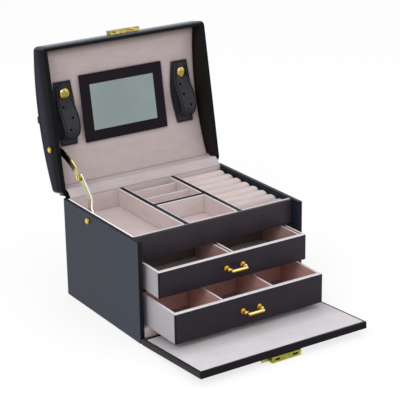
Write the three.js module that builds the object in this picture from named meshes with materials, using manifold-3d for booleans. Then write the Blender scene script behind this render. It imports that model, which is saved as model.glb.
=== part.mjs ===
// Tiered jewelry box: a carcass with a lidded top tray, two drawers behind a drop-down front flap.
// Millimetres, +Z up, +X to the right seen from the front. The sub-parts are laid out with y = 0
// at the front edges of the side panels, and the finished box is centred on its own footprint.
import * as THREE from 'three';
import { mergeVertices } from 'three/addons/utils/BufferGeometryUtils.js';
import { RoundedBoxGeometry } from 'three/addons/geometries/RoundedBoxGeometry.js';
import Module from 'manifold-3d';

const wasm = await Module();
wasm.setup();

// Driving dimensions
const gap = 0.3; // between pieces that rest on or beside each other
const overrun = 2; // how far a cutting tool runs past the face it cuts
const mirroredSides = [-1, 1];

const carcass = { width: 175, depth: 134, height: 96.5, panel: 4.4, edge: 0.9 };
const backPanel = { thickness: 4 };
const base = { board: 4, riserTop: 13.7, setBack: 1.2 };
const innerWall = { thickness: 3.8, front: 9.5 };
const shelf = { top: 47.2, thickness: 4, setBack: 1.5 };

const tray = {
  board: 4.2,
  boardBottom: 73.2,
  fascia: 3,
  lining: 1.8,
  floorLining: 1,
  rimDrop: 0.3,
  rebate: 2.1,
};
const dividers = { thickness: 6, left: -29.2, right: 27.5, crossAt: 70.2, drop: 0.2 };
const slots = { thickness: 1.8, drop: 2.6, rearFace: 115.5, frontFace: 92.6 };
const rings = { rolls: 8, crestDrop: 2, grooveDepth: 6.5, grooveWidth: 0.5, arcSteps: 7, endRound: 1.2 };

const lid = {
  wall: 4.4,
  spring: 19.5,
  rise: 10,
  length: 138.5,
  corner: 4,
  planCorner: 5,
  edge: 1.6,
  openPastUpright: 10.5,
  axisBehind: 1.2,
  liningDrop: 9,
  arcSteps: 28,
};
const hingeCloth = { rise: 12, reach: 3.6, lip: 0.6 };
const mirror = {
  width: 89.6,
  height: 64,
  middle: -1.6,
  lowEdge: 42.6,
  border: 9.8,
  thickness: 1.8,
  glass: 1.2,
  recess: 0.4,
};
const strap = {
  fromSide: 23.3,
  padEndWidth: 17.2,
  padMiddleWidth: 23.4,
  padLow: 43.6,
  padHigh: 104,
  padThickness: 1.6,
  foldWidth: 15.2,
  middleWidth: 18.8,
  tipWidth: 15,
  thickness: 1.5,
  low: 50.3,
  high: 102.2,
  lift: 10.6,
  steps: 36,
  outlineSteps: 16,
};
const strapRunShares = [0, 0.02, 0.07, 0.14, 0.225, 0.32, 0.42, 0.515, 0.61, 0.7, 0.78, 1];
const strapLiftShares = [0.035, 0.36, 0.76, 0.97, 1, 0.92, 0.74, 0.5, 0.27, 0.09, 0.03, 0.03];
const snap = { radius: 5.1, rise: 2.1, rim: 0.6, fromTip: 9.4, seat: 0.25 };
const handle = { endInset: 0.75, footLength: 20, rise: 10.5, thickness: 2.4, width: 6.5, steps: 40 };
const handleRunShares = [0, 0.5, 1, 1.16, 1.5];
const handleRiseShares = [0, 0, 0.07, 0.5, 0.92];

const stay = {
  bodyPivot: { y: 88, drop: 8.2 },
  lidPivot: { along: 43.7, depth: 12.5 },
  lowerLength: 41.8,
  upperLength: 44.6,
  halfWidth: 3.5,
  plate: 1.2,
  lowerBow: 2.8,
  upperBow: 4,
  bowSteps: 10,
  endSteps: 8,
  footRoom: 0.6,
  headRoom: 1.9,
  crank: [10, 17],
};
const rivet = { shank: 1.5, clearance: 0.3, headRadius: 3.2, headRise: 1.7, tailRadius: 2.6, tail: 0.9, sides: 24 };
const middleRivet = { headRadius: 2.9, headRise: 1.2, bandRadius: 2.1, bandRise: 0.5 };

const flap = {
  thickness: 6.2,
  length: 92.3,
  lining: 1,
  border: 2,
  nosePad: 3.6,
  ahead: 3.5,
  axisHeight: 3.4,
  noseSteps: 10,
  edge: 0.8,
};
const lock = {
  width: 30.4,
  depth: 5.2,
  height: 12,
  slotWidth: 5.4,
  slotThickness: 1.9,
  slotDepth: 4,
  slotOffset: 9.4,
};
const lockButton = { radius: 2.3, length: 5, stem: 1.4, stemLength: 3.6, travel: 1.5, sides: 20 };
const latch = { width: 31.8, depth: 4.2, height: 8.5, edge: 0.7, hookWidth: 4.4, hookThickness: 1.2, hookLength: 3 };

const drawer = {
  sideRoom: 9.3,
  frontBoard: 1.8,
  sideInset: 0.3,
  closedFront: 9.5,
  length: 119,
  wall: 2.4,
  floor: 1.6,
  divider: 1.8,
  dividerDrop: 0.5,
  frontEdge: 0.5,
};
const upperDrawer = { bottom: 47.5, top: 71.6, pulledOut: 27.4, channelWall: 5.6, channel: 2.4, channelDepth: 2.6 };
const lowerDrawer = { bottom: 14, top: 41.9, pulledOut: 52.6, dividerOffset: 26.5 };
const pull = {
  spread: 8.6,
  rosette: 2.6,
  rosetteThickness: 0.8,
  stem: 1.1,
  ball: 1.8,
  pivotOut: 4.4,
  barOut: 4,
  barRadius: 1.65,
  barHalf: 8.8,
  armRadius: 0.85,
  armInset: 3,
  pinRadius: 0.7,
  pinClearance: 0.3,
  droop: 5,
  sides: 14,
  ballSteps: 8,
};

// Finishes
const looks = {
  leather: { color: 0x3a3942, roughness: 0.55, metalness: 0 },
  velvet: { color: 0xc9bab8, roughness: 0.95, metalness: 0 },
  flapVelvet: { color: 0xd3ced1, roughness: 0.95, metalness: 0 },
  brass: { color: 0xc9a13a, roughness: 0.28, metalness: 1 },
  mirror: { color: 0x8f9b9b, roughness: 0.06, metalness: 0.9 },
};

function degrees(angle) {
  return THREE.MathUtils.degToRad(angle);
}

function mesh(name, geometry, look) {
  const piece = new THREE.Mesh(geometry, new THREE.MeshStandardMaterial({ ...looks[look], name: look }));
  piece.name = name;
  return piece;
}

function plain(geometry) {
  const bare = geometry.clone();
  bare.deleteAttribute('normal');
  bare.deleteAttribute('uv');
  return mergeVertices(bare);
}

function toSolid(geometry) {
  const merged = plain(geometry);
  return new wasm.Manifold(new wasm.Mesh({
    numProp: 3,
    vertProperties: new Float32Array(merged.attributes.position.array),
    triVerts: new Uint32Array(merged.index.array),
  }));
}

function toGeometry(solid) {
  const result = solid.getMesh();
  const geometry = new THREE.BufferGeometry();
  geometry.setAttribute('position', new THREE.BufferAttribute(new Float32Array(result.vertProperties), 3));
  geometry.setIndex(new THREE.BufferAttribute(new Uint32Array(result.triVerts), 1));
  geometry.computeVertexNormals();
  return geometry;
}

function cut(geometry, tools) {
  return toGeometry(tools.reduce((solid, tool) => solid.subtract(toSolid(tool)), toSolid(geometry)));
}

function join(pieces) {
  return toGeometry(pieces.map(toSolid).reduce((sum, solid) => sum.add(solid)));
}

function common(geometry, tool) {
  return toGeometry(toSolid(geometry).intersect(toSolid(tool)));
}

// A board between two corners, with softened edges where an edge radius is given.
function slab(x, y, z, edge = 0) {
  const size = [x, y, z].map(([low, high]) => high - low);
  const geometry = edge > 0
    ? new RoundedBoxGeometry(...size, 1, edge)
    : new THREE.BoxGeometry(...size);
  return geometry.translate(...[x, y, z].map(([low, high]) => (low + high) / 2));
}

// An outline in (y, z) pushed along X.
function alongX(shape, low, high, bevel = 0) {
  const geometry = new THREE.ExtrudeGeometry(shape, {
    depth: high - low - 2 * bevel,
    bevelEnabled: bevel > 0,
    bevelThickness: bevel,
    bevelSize: bevel,
    bevelOffset: -bevel,
    bevelSegments: 2,
    curveSegments: lid.arcSteps,
  });
  geometry.translate(0, 0, low + bevel);
  const basis = new THREE.Matrix4().makeBasis(
    new THREE.Vector3(0, 1, 0),
    new THREE.Vector3(0, 0, 1),
    new THREE.Vector3(1, 0, 0),
  );
  return geometry.applyMatrix4(basis);
}

// An outline in (x, z) pushed along Y.
function alongY(shape, low, high) {
  const geometry = new THREE.ExtrudeGeometry(shape, { depth: high - low, bevelEnabled: false });
  return geometry.rotateX(Math.PI / 2).translate(0, high, 0);
}

// An outline in (x, y) pushed along Z.
function alongZ(shape, low, high) {
  const geometry = new THREE.ExtrudeGeometry(shape, { depth: high - low, bevelEnabled: false });
  return geometry.translate(0, 0, low);
}

function roundedPlan(half, low, high, radius) {
  const shape = new THREE.Shape();
  shape.moveTo(-half + radius, low);
  shape.lineTo(half - radius, low);
  shape.absarc(half - radius, low + radius, radius, -Math.PI / 2, 0);
  shape.absarc(half - radius, high - radius, radius, 0, Math.PI / 2);
  shape.absarc(-half + radius, high - radius, radius, Math.PI / 2, Math.PI);
  shape.absarc(-half + radius, low + radius, radius, Math.PI, Math.PI * 3 / 2);
  return shape;
}

function rodX(x, y, z, radius, sides) {
  const [low, high] = x;
  const geometry = new THREE.CylinderGeometry(radius, radius, high - low, sides);
  return geometry.rotateZ(Math.PI / 2).translate((low + high) / 2, y, z);
}

function rodY(x, y, z, radius, sides) {
  const [low, high] = y;
  return new THREE.CylinderGeometry(radius, radius, high - low, sides).translate(x, (low + high) / 2, z);
}

function polygon(points) {
  return new THREE.Shape(points.map(([a, b]) => new THREE.Vector2(a, b)));
}

// A strip of even thickness along a smooth line, given by its middle points.
function band(points, thickness, steps) {
  const line = new THREE.SplineCurve(points.map(([a, b]) => new THREE.Vector2(a, b)));
  const above = [];
  const below = [];
  for (let i = 0; i <= steps; i += 1) {
    const at = line.getPointAt(i / steps);
    const run = line.getTangentAt(i / steps);
    const side = new THREE.Vector2(-run.y, run.x).multiplyScalar(thickness / 2);
    above.push([at.x + side.x, at.y + side.y]);
    below.push([at.x - side.x, at.y - side.y]);
  }
  return polygon([...below, ...above.reverse()]);
}

// Shared lines of the carcass
const halfWidth = carcass.width / 2;
const innerHalf = halfWidth - carcass.panel;
const backFace = carcass.depth - backPanel.thickness;
const innerBack = backFace - gap;
const boardHalf = innerHalf - gap;
const fasciaFront = innerWall.front;
const trayFloorTop = tray.boardBottom + tray.board;
const trayFloor = trayFloorTop + gap + tray.floorLining;
const rim = carcass.height;
const liningTop = rim - tray.rimDrop;
const frontLiningBack = fasciaFront + tray.fascia + gap + tray.lining;
const backLiningFront = innerBack - tray.lining;
const leftLiningFace = -innerHalf + tray.lining - tray.rebate + gap;
const dividerTop = rim - dividers.drop;
const dividerLow = trayFloor + gap;
const stayBodyZ = rim - stay.bodyPivot.drop;

function carcassBox() {
  const group = new THREE.Group();
  const depth = [0, carcass.depth];
  const height = [0, rim];
  const pivotBore = (x) => rodX(x, stay.bodyPivot.y, stayBodyZ, rivet.shank + rivet.clearance, rivet.sides);
  const leftPanel = cut(slab([-halfWidth, -innerHalf], depth, height, carcass.edge), [
    slab([-innerHalf - tray.rebate, -innerHalf + overrun], [fasciaFront + tray.fascia, backFace],
      [trayFloorTop, rim + overrun]),
    pivotBore([-halfWidth - overrun, -innerHalf + overrun]),
  ]);
  group.add(mesh('left_side_panel', leftPanel, 'leather'));
  group.add(mesh('right_side_panel', slab([innerHalf, halfWidth], depth, height, carcass.edge), 'leather'));
  group.add(mesh('back_panel', slab([-boardHalf, boardHalf], [backFace, carcass.depth], height, carcass.edge),
    'leather'));
  const floorDepth = [base.setBack, innerBack];
  group.add(mesh('bottom_panel', slab([-boardHalf, boardHalf], floorDepth, [0, base.board]), 'leather'));
  group.add(mesh('base_riser', slab([-boardHalf, boardHalf], floorDepth, [base.board + gap, base.riserTop]),
    'velvet'));
  const wallDepth = [innerWall.front, innerBack];
  const wallHeight = [base.riserTop + gap, tray.boardBottom - gap];
  const wallInner = boardHalf - innerWall.thickness;
  group.add(mesh('left_inner_wall', slab([-boardHalf, -wallInner], wallDepth, wallHeight), 'velvet'));
  group.add(mesh('right_inner_wall', slab([wallInner, boardHalf], wallDepth, wallHeight), 'velvet'));
  const shelfHalf = wallInner - gap;
  const shelfDepth = [innerWall.front + shelf.setBack, innerBack];
  group.add(mesh('drawer_shelf', slab([-shelfHalf, shelfHalf], shelfDepth, [shelf.top - shelf.thickness, shelf.top]),
    'velvet'));
  const stripLow = carcass.edge;
  const strip = slab([-boardHalf, boardHalf], [gap, base.setBack - gap], [stripLow, base.riserTop - gap]);
  group.add(mesh('flap_hinge_strip', strip, 'velvet'));
  const lidStrip = slab([-boardHalf, boardHalf], [carcass.depth + gap, carcass.depth + lid.axisBehind - gap],
    [rim - hingeCloth.rise, rim - tray.rimDrop]);
  group.add(mesh('lid_hinge_strip', lidStrip, 'leather'));
  return group;
}

function topTray() {
  const group = new THREE.Group();
  const across = [-boardHalf, boardHalf];
  const fasciaDepth = [fasciaFront, fasciaFront + tray.fascia];
  group.add(mesh('tray_floor', slab(across, [fasciaFront + tray.fascia + gap, innerBack],
    [tray.boardBottom, trayFloorTop]), 'leather'));
  group.add(mesh('tray_fascia', slab(across, fasciaDepth, [tray.boardBottom, liningTop], carcass.edge),
    'leather'));
  const liningHeight = [trayFloor + gap, liningTop];
  const leftLining = cut(slab([leftLiningFace - tray.lining, leftLiningFace],
    [fasciaFront + tray.fascia + gap, innerBack], liningHeight), [
    rodX([-halfWidth, 0], stay.bodyPivot.y, stayBodyZ, rivet.shank + rivet.clearance, rivet.sides),
  ]);
  group.add(mesh('left_tray_lining', leftLining, 'velvet'));
  const between = [leftLiningFace + gap, boardHalf];
  group.add(mesh('front_tray_lining', slab(between, [frontLiningBack - tray.lining, frontLiningBack],
    liningHeight), 'velvet'));
  group.add(mesh('back_tray_lining', slab(between, [backLiningFront, innerBack], liningHeight), 'velvet'));
  group.add(mesh('tray_floor_lining', slab(between, [frontLiningBack - tray.lining, innerBack],
    [trayFloorTop + gap, trayFloor]), 'velvet'));
  return group;
}

function trayDividers() {
  const group = new THREE.Group();
  const half = dividers.thickness / 2;
  const run = [frontLiningBack + gap, backLiningFront - gap];
  for (const [name, middle] of [['left_divider', dividers.left], ['right_divider', dividers.right]]) {
    group.add(mesh(name, slab([middle - half, middle + half], run, [dividerLow, dividerTop]), 'velvet'));
  }
  const across = [dividers.left + half + gap, dividers.right - half - gap];
  group.add(mesh('cross_divider', slab(across, [dividers.crossAt - half, dividers.crossAt + half],
    [dividerLow, dividerTop]), 'velvet'));
  const partitionHeight = [dividerLow, rim - slots.drop];
  group.add(mesh('rear_slot_partition', slab(across, [slots.rearFace, slots.rearFace + slots.thickness],
    partitionHeight), 'velvet'));
  group.add(mesh('front_slot_partition', slab(across, [slots.frontFace, slots.frontFace + slots.thickness],
    partitionHeight), 'velvet'));
  return group;
}

// The ring cushion: padded rolls side by side, with a narrow groove between each two.
function ringCushion() {
  const low = frontLiningBack + gap;
  const high = backLiningFront - gap;
  const pitch = (high - low) / rings.rolls;
  const crest = rim - rings.crestDrop;
  const halfRoll = (pitch - rings.grooveWidth) / 2;
  const points = [[low, dividerLow]];
  for (let roll = rings.rolls - 1; roll >= 0; roll -= 1) {
    const middle = low + pitch * (roll + 1 / 2);
    for (let step = 0; step <= rings.arcSteps; step += 1) {
      const turn = Math.PI * (step / rings.arcSteps);
      points.push([middle + halfRoll * Math.cos(turn), crest - rings.grooveDepth * (1 - Math.sin(turn))]);
    }
  }
  points.splice(1, 0, [high, dividerLow]);
  const left = dividers.right + dividers.thickness / 2 + gap;
  return mesh('ring_cushion', alongX(polygon(points), left, boardHalf, rings.endRound), 'velvet');
}

// The lid, drawn shut in its own frame: the hinge axis is the origin, the lid runs to -y, z is its depth.
const lidAxis = { y: carcass.depth + lid.axisBehind, z: rim + gap };
const lidBack = lid.axisBehind;
const lidFront = lidBack + lid.length;
const lidMiddle = (lidBack + lidFront) / 2;
const lidHalf = lid.length / 2;
const archRadius = (lidHalf ** 2 + lid.rise ** 2) / (2 * lid.rise);
const archCentre = lid.spring + lid.rise - archRadius;

function archDepth(along, drop) {
  return archCentre + Math.sqrt((archRadius - drop) ** 2 - (along - lidMiddle) ** 2);
}

function archPoints(from, to, drop) {
  const points = [];
  for (let i = 0; i <= lid.arcSteps; i += 1) {
    const along = from + (to - from) * (i / lid.arcSteps);
    points.push([-along, archDepth(along, drop)]);
  }
  return points;
}

function lidShell() {
  const outer = new THREE.Shape();
  outer.moveTo(-lidBack, -overrun);
  outer.lineTo(-lidFront, -overrun);
  outer.lineTo(-lidFront, lid.spring - lid.corner);
  const front = lidFront - lid.corner;
  const back = lidBack + lid.corner;
  outer.quadraticCurveTo(-lidFront, lid.spring, -front, archDepth(front, 0));
  for (const [y, z] of archPoints(front, back, 0)) {
    outer.lineTo(y, z);
  }
  outer.quadraticCurveTo(-lidBack, lid.spring, -lidBack, lid.spring - lid.corner);
  const innerFront = lidFront - lid.wall;
  const innerBackWall = lidBack + lid.wall;
  const cavity = polygon([
    [-innerBackWall, -overrun],
    [-innerFront, -overrun],
    ...archPoints(innerFront, innerBackWall, lid.wall),
  ]);
  const stayBore = rodX([-halfWidth - overrun, 0], -stay.lidPivot.along, stay.lidPivot.depth,
    rivet.shank + rivet.clearance, rivet.sides);
  const plan = alongZ(roundedPlan(halfWidth, -lidFront, -lidBack, lid.planCorner), 0, lid.spring + 2 * lid.rise);
  return cut(common(alongX(outer, -halfWidth, halfWidth, lid.edge), plan), [
    alongX(cavity, -halfWidth + lid.wall, halfWidth - lid.wall),
    stayBore,
  ]);
}

// A sheet that follows the arch of the lid between two drops below its outside.
function archedSheet(from, to, outerDrop, innerDrop, low, high) {
  return alongX(polygon([...archPoints(from, to, outerDrop), ...archPoints(to, from, innerDrop)]), low, high);
}

// Places a flat piece on the arched lining, touching at both of its ends.
function onLining(low, high) {
  const lowDepth = archDepth(low, lid.liningDrop);
  const highDepth = archDepth(high, lid.liningDrop);
  const group = new THREE.Group();
  group.position.set(0, -low, lowDepth - gap);
  group.rotation.x = -Math.atan2(highDepth - lowDepth, high - low);
  return group;
}

function lidMirror() {
  const group = onLining(mirror.lowEdge, mirror.lowEdge + mirror.height);
  const halfFrame = mirror.width / 2;
  const halfHole = halfFrame - mirror.border;
  const hole = [mirror.border, mirror.height - mirror.border];
  const frame = cut(slab([-halfFrame, halfFrame], [-mirror.height, 0], [-mirror.thickness, 0]), [
    slab([-halfHole, halfHole], [-hole[1], -hole[0]], [-mirror.thickness - overrun, overrun]),
  ]);
  group.position.x = mirror.middle;
  group.add(mesh('mirror_frame', frame, 'leather'));
  const halfGlass = halfHole - gap;
  const front = -mirror.thickness + mirror.recess;
  group.add(mesh('mirror_glass', slab([-halfGlass, halfGlass], [-hole[1] + gap, -hole[0] - gap],
    [front, front + mirror.glass]), 'mirror'));
  return group;
}

const padDrop = lid.liningDrop + gap + strap.padThickness;

function strapMiddle(share, liftShare) {
  const along = strap.low + (strap.high - strap.low) * share;
  return [-along, archDepth(along, padDrop) - gap - strap.thickness / 2 - strap.lift * liftShare];
}

// A barrel-sided outline in (x, y), given by half widths at places along the lid.
function barrel(middle, places, roundTip) {
  const line = new THREE.SplineCurve(places.map(([half, along]) => new THREE.Vector2(half, -along)));
  const right = line.getPoints(strap.outlineSteps).map((point) => [point.x, point.y]);
  const tip = [];
  if (roundTip) {
    const [half, y] = right[right.length - 1];
    for (let i = 1; i < strap.outlineSteps; i += 1) {
      const turn = Math.PI * (i / strap.outlineSteps);
      tip.push([half * Math.cos(turn), y - half * Math.sin(turn)]);
    }
  }
  const left = right.map(([x, y]) => [-x, y]).reverse();
  return polygon([...right, ...tip, ...left].map(([x, y]) => [x + middle, y]));
}

// Two snap straps hold necklaces: a pad on the lining, and a strap that bows off it to a brass snap.
function snapStraps() {
  const group = new THREE.Group();
  const shellDepth = lid.spring + lid.rise;
  const halves = [strap.padEndWidth, strap.padMiddleWidth, strap.foldWidth, strap.middleWidth, strap.tipWidth]
    .map((width) => width / 2);
  const [padEnd, padMiddle, fold, wide, tip] = halves;
  const tipStart = strap.high - tip;
  const strapMiddleAlong = (strap.low + tipStart) / 2;
  for (const side of mirroredSides) {
    const word = side < 0 ? 'left' : 'right';
    const middle = side * (halfWidth - strap.fromSide);
    const padOutline = barrel(middle, [
      [padEnd, strap.padLow],
      [padMiddle, (strap.padLow + strap.padHigh) / 2],
      [padEnd, strap.padHigh],
    ], false);
    const sheet = archedSheet(strap.padLow - overrun, strap.padHigh + overrun, lid.liningDrop + gap, padDrop,
      middle - padMiddle - overrun, middle + padMiddle + overrun);
    group.add(mesh(`${word}_strap_pad`, common(sheet, alongZ(padOutline, 0, shellDepth)), 'leather'));
    const points = strapRunShares.map((share, i) => strapMiddle(share, strapLiftShares[i]));
    const outline = barrel(middle, [
      [fold, strap.low - overrun],
      [wide, strapMiddleAlong],
      [tip, tipStart],
    ], true);
    const bow = alongX(band(points, strap.thickness, strap.steps), middle - wide - overrun, middle + wide + overrun);
    group.add(mesh(`${word}_snap_strap`, common(bow, alongZ(outline, 0, shellDepth)), 'leather'));
    const snapShare = (strap.high - snap.fromTip - strap.low) / (strap.high - strap.low);
    const [snapY, snapZ] = strapMiddle(snapShare, strapLiftShares[strapLiftShares.length - 1]);
    const cap = mesh(`${word}_snap_cap`, snapCap(), 'brass');
    const lean = Math.asin((strap.high - snap.fromTip - lidMiddle) / archRadius);
    cap.rotation.x = Math.PI + lean;
    const off = strap.thickness / 2 + gap + snap.seat;
    cap.position.set(middle, snapY + off * Math.sin(lean), snapZ - off * Math.cos(lean));
    group.add(cap);
  }
  return group;
}

function snapCap() {
  const profile = [[0, 0], [snap.radius, 0], [snap.radius, snap.rim]];
  const steps = 6;
  for (let i = 1; i <= steps; i += 1) {
    const turn = (Math.PI / 2) * (i / steps);
    profile.push([snap.radius * Math.cos(turn), snap.rim + (snap.rise - snap.rim) * Math.sin(turn)]);
  }
  profile[profile.length - 1][0] = 0;
  return new THREE.LatheGeometry(profile.map(([r, h]) => new THREE.Vector2(r, h)), rivet.sides).rotateX(Math.PI / 2);
}

function carryHandle() {
  const half = halfWidth - handle.endInset;
  const crown = lid.spring + lid.rise + gap + handle.thickness / 2;
  const leftPoints = handleRunShares.map((share, i) => [
    -half + handle.footLength * share,
    crown + handle.rise * handleRiseShares[i],
  ]);
  const rightPoints = leftPoints.map(([x, z]) => [-x, z]).reverse();
  const shape = band([...leftPoints, [0, crown + handle.rise], ...rightPoints], handle.thickness, handle.steps);
  const low = -lidMiddle - handle.width / 2;
  return mesh('carry_handle', alongY(shape, low, low + handle.width), 'leather');
}

// The brass catch on the lid's front wall, with two hooks that drop into the lock.
function upperCatch() {
  const half = latch.width / 2;
  const face = lidFront + gap;
  const body = slab([-half, half], [-face - latch.depth, -face], [gap, latch.height], latch.edge);
  const hookMiddle = face + latch.depth - latch.hookThickness - latch.edge;
  const hooks = mirroredSides.map((side) => slab(
    [side * lock.slotOffset - latch.hookWidth / 2, side * lock.slotOffset + latch.hookWidth / 2],
    [-hookMiddle - latch.hookThickness / 2, -hookMiddle + latch.hookThickness / 2],
    [-latch.hookLength, latch.height / 2],
  ));
  return mesh('upper_catch', join([body, ...hooks]), 'brass');
}

// A rivet along X: a domed head outside, then the shank, with a collar where one is given, and a flat tail.
function rivetGeometry(grip, collar) {
  const profile = [];
  const steps = 6;
  for (let i = 0; i <= steps; i += 1) {
    const turn = (Math.PI / 2) * (1 - i / steps);
    profile.push([rivet.headRadius * Math.cos(turn), -rivet.headRise * Math.sin(turn)]);
  }
  profile[0][0] = 0;
  profile.push([rivet.shank, 0]);
  if (collar) {
    profile.push([rivet.shank, collar[0]], [rivet.tailRadius, collar[0]]);
    profile.push([rivet.tailRadius, collar[1]], [rivet.shank, collar[1]]);
  }
  profile.push([rivet.shank, grip], [rivet.tailRadius, grip]);
  profile.push([rivet.tailRadius, grip + rivet.tail], [0, grip + rivet.tail]);
  return lathedX(profile);
}

function lathedX(profile) {
  const points = profile.map(([r, h]) => new THREE.Vector2(r, h));
  return new THREE.LatheGeometry(points, rivet.sides).rotateZ(-Math.PI / 2);
}

// The knee rivet is held in the upper link: its head is a ring with a dimple, its shank ends at the lower link.
function kneeRivet() {
  const { headRadius, headRise, bandRadius, bandRise } = middleRivet;
  return lathedX([
    [0, -bandRise],
    [bandRadius / 2, -bandRise],
    [bandRadius, -headRise],
    [headRadius, -bandRise],
    [headRadius, 0],
    [rivet.shank, 0],
    [rivet.shank, stay.plate + gap],
    [0, stay.plate + gap],
  ]);
}

// A stay link: a bowed plate from its first pivot at the origin to its second at (length, 0).
function linkShape(length, bow) {
  const radius = ((length / 2) ** 2 + bow ** 2) / (2 * bow);
  const bowAt = (a) => Math.sqrt(radius ** 2 - (a - length / 2) ** 2) - (radius - bow);
  const leanAt = (a) => Math.asin((length / 2 - a) / radius);
  const points = [];
  const edge = (a, sign) => {
    const lean = leanAt(a);
    points.push([a - sign * stay.halfWidth * Math.sin(lean), bowAt(a) + sign * stay.halfWidth * Math.cos(lean)]);
  };
  for (let i = 0; i <= stay.bowSteps; i += 1) {
    edge(length * (i / stay.bowSteps), -1);
  }
  const cap = (a, start) => {
    for (let i = 1; i < stay.endSteps; i += 1) {
      const turn = start + Math.PI * (i / stay.endSteps);
      points.push([a + stay.halfWidth * Math.cos(turn), stay.halfWidth * Math.sin(turn)]);
    }
  };
  cap(length, leanAt(length) - Math.PI / 2);
  for (let i = stay.bowSteps; i >= 0; i -= 1) {
    edge(length * (i / stay.bowSteps), 1);
  }
  cap(0, leanAt(0) + Math.PI / 2);
  return points;
}

// Cuts a bowed outline out of a plate that lies at x, or that is cranked from footX to x past its foot.
function linkPlate(outline, length, x, footX) {
  const reach = 2 * stay.halfWidth;
  if (footX === x) {
    return alongX(outline, x, x + stay.plate);
  }
  const [crankStart, crankEnd] = stay.crank;
  const side = polygon([
    [footX, -reach],
    [footX + stay.plate, -reach],
    [footX + stay.plate, crankStart],
    [x + stay.plate, crankEnd],
    [x + stay.plate, length + reach],
    [x, length + reach],
    [x, crankEnd],
    [footX, crankStart],
  ]);
  return common(alongX(outline, footX - overrun, x + 2 * overrun), alongZ(side, -length, length));
}

function link(name, size, bores, start, angle, x, footX) {
  const outline = linkShape(size.length, size.bow).map(([a, b]) => [a, size.flip * b]);
  if (size.flip < 0) {
    outline.reverse();
  }
  const reach = [footX - overrun, x + stay.plate + overrun];
  const holes = bores.map((a) => rodX(reach, a, 0, rivet.shank + rivet.clearance, rivet.sides));
  const piece = mesh(name, cut(linkPlate(polygon(outline), size.length, x, footX), holes), 'brass');
  piece.position.set(0, start.y, start.z);
  piece.rotation.x = angle;
  return piece;
}

function lidPoint(along, depth) {
  const lean = degrees(lid.openPastUpright);
  return {
    y: lidAxis.y + along * Math.sin(lean) + depth * Math.cos(lean),
    z: lidAxis.z + along * Math.cos(lean) - depth * Math.sin(lean),
  };
}

// The lid stay on the left: two links that fold at their middle rivet as the lid comes down.
function lidStay() {
  const group = new THREE.Group();
  const foot = { y: stay.bodyPivot.y, z: stayBodyZ };
  const top = lidPoint(stay.lidPivot.along, stay.lidPivot.depth);
  const run = Math.hypot(top.y - foot.y, top.z - foot.z);
  const alongRun = (stay.lowerLength ** 2 - stay.upperLength ** 2 + run ** 2) / (2 * run);
  const runAngle = Math.atan2(top.z - foot.z, top.y - foot.y);
  const lowerAngle = runAngle + Math.acos(alongRun / stay.lowerLength);
  const knee = {
    y: foot.y + stay.lowerLength * Math.cos(lowerAngle),
    z: foot.z + stay.lowerLength * Math.sin(lowerAngle),
  };
  const upperAngle = Math.atan2(knee.z - top.z, knee.y - top.y);
  const upperX = leftLiningFace + stay.headRoom;
  const lowerX = upperX + stay.plate + gap;
  const footX = leftLiningFace + stay.footRoom;
  const lower = { length: stay.lowerLength, bow: stay.lowerBow, flip: 1 };
  const upper = { length: stay.upperLength, bow: stay.upperBow, flip: -1 };
  group.add(link('stay_lower_link', lower, [0], foot, lowerAngle, lowerX, footX));
  group.add(link('stay_upper_link', upper, [0, stay.upperLength], top, upperAngle, upperX, upperX));
  const outside = halfWidth + gap;
  const bodyRivet = mesh('stay_body_rivet', rivetGeometry(footX + stay.plate + outside + gap), 'brass');
  bodyRivet.position.set(-outside, foot.y, foot.z);
  const collar = [outside - innerHalf + gap, outside + upperX - gap];
  const lidRivet = mesh('stay_lid_rivet', rivetGeometry(upperX + stay.plate + outside + gap, collar), 'brass');
  lidRivet.position.set(-outside, top.y, top.z);
  const knob = mesh('stay_middle_rivet', kneeRivet(), 'brass');
  knob.position.set(upperX - gap, knee.y, knee.z);
  group.add(bodyRivet, lidRivet, knob);
  return group;
}

function lidAssembly() {
  const group = new THREE.Group();
  group.position.set(0, lidAxis.y, lidAxis.z);
  group.rotation.x = -degrees(90 + lid.openPastUpright);
  group.add(mesh('lid_shell', lidShell(), 'leather'));
  const liningHalf = halfWidth - lid.wall - gap;
  const liningFrom = lidBack + lid.wall + gap;
  const liningTo = lidFront - lid.wall - gap;
  group.add(mesh('lid_lining', archedSheet(liningFrom, liningTo, lid.wall + gap, lid.liningDrop,
    -liningHalf, liningHalf), 'velvet'));
  const clothTop = archDepth(liningFrom, lid.liningDrop) - gap;
  const cloth = polygon([
    [-liningFrom, gap],
    [-liningFrom - hingeCloth.lip, gap],
    [-liningFrom - hingeCloth.reach / 2, clothTop / 2],
    [-liningFrom - hingeCloth.reach, clothTop],
    [-liningFrom, clothTop],
  ].reverse());
  group.add(mesh('lid_hinge_cloth', alongX(cloth, -liningHalf, liningHalf), 'velvet'));
  group.add(lidMirror(), snapStraps(), carryHandle(), upperCatch());
  return group;
}

// The drop-down front flap, drawn lying flat: the hinge axis is the origin and the flap runs to -y.
const flapHalf = flap.thickness / 2;
const lockOuter = -flapHalf - gap - lock.depth;
const lockInner = flap.length + gap - lock.height;
const flapRest = Math.atan2(-lockOuter, lockInner) - Math.asin(flap.axisHeight / Math.hypot(lockOuter, lockInner));

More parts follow.
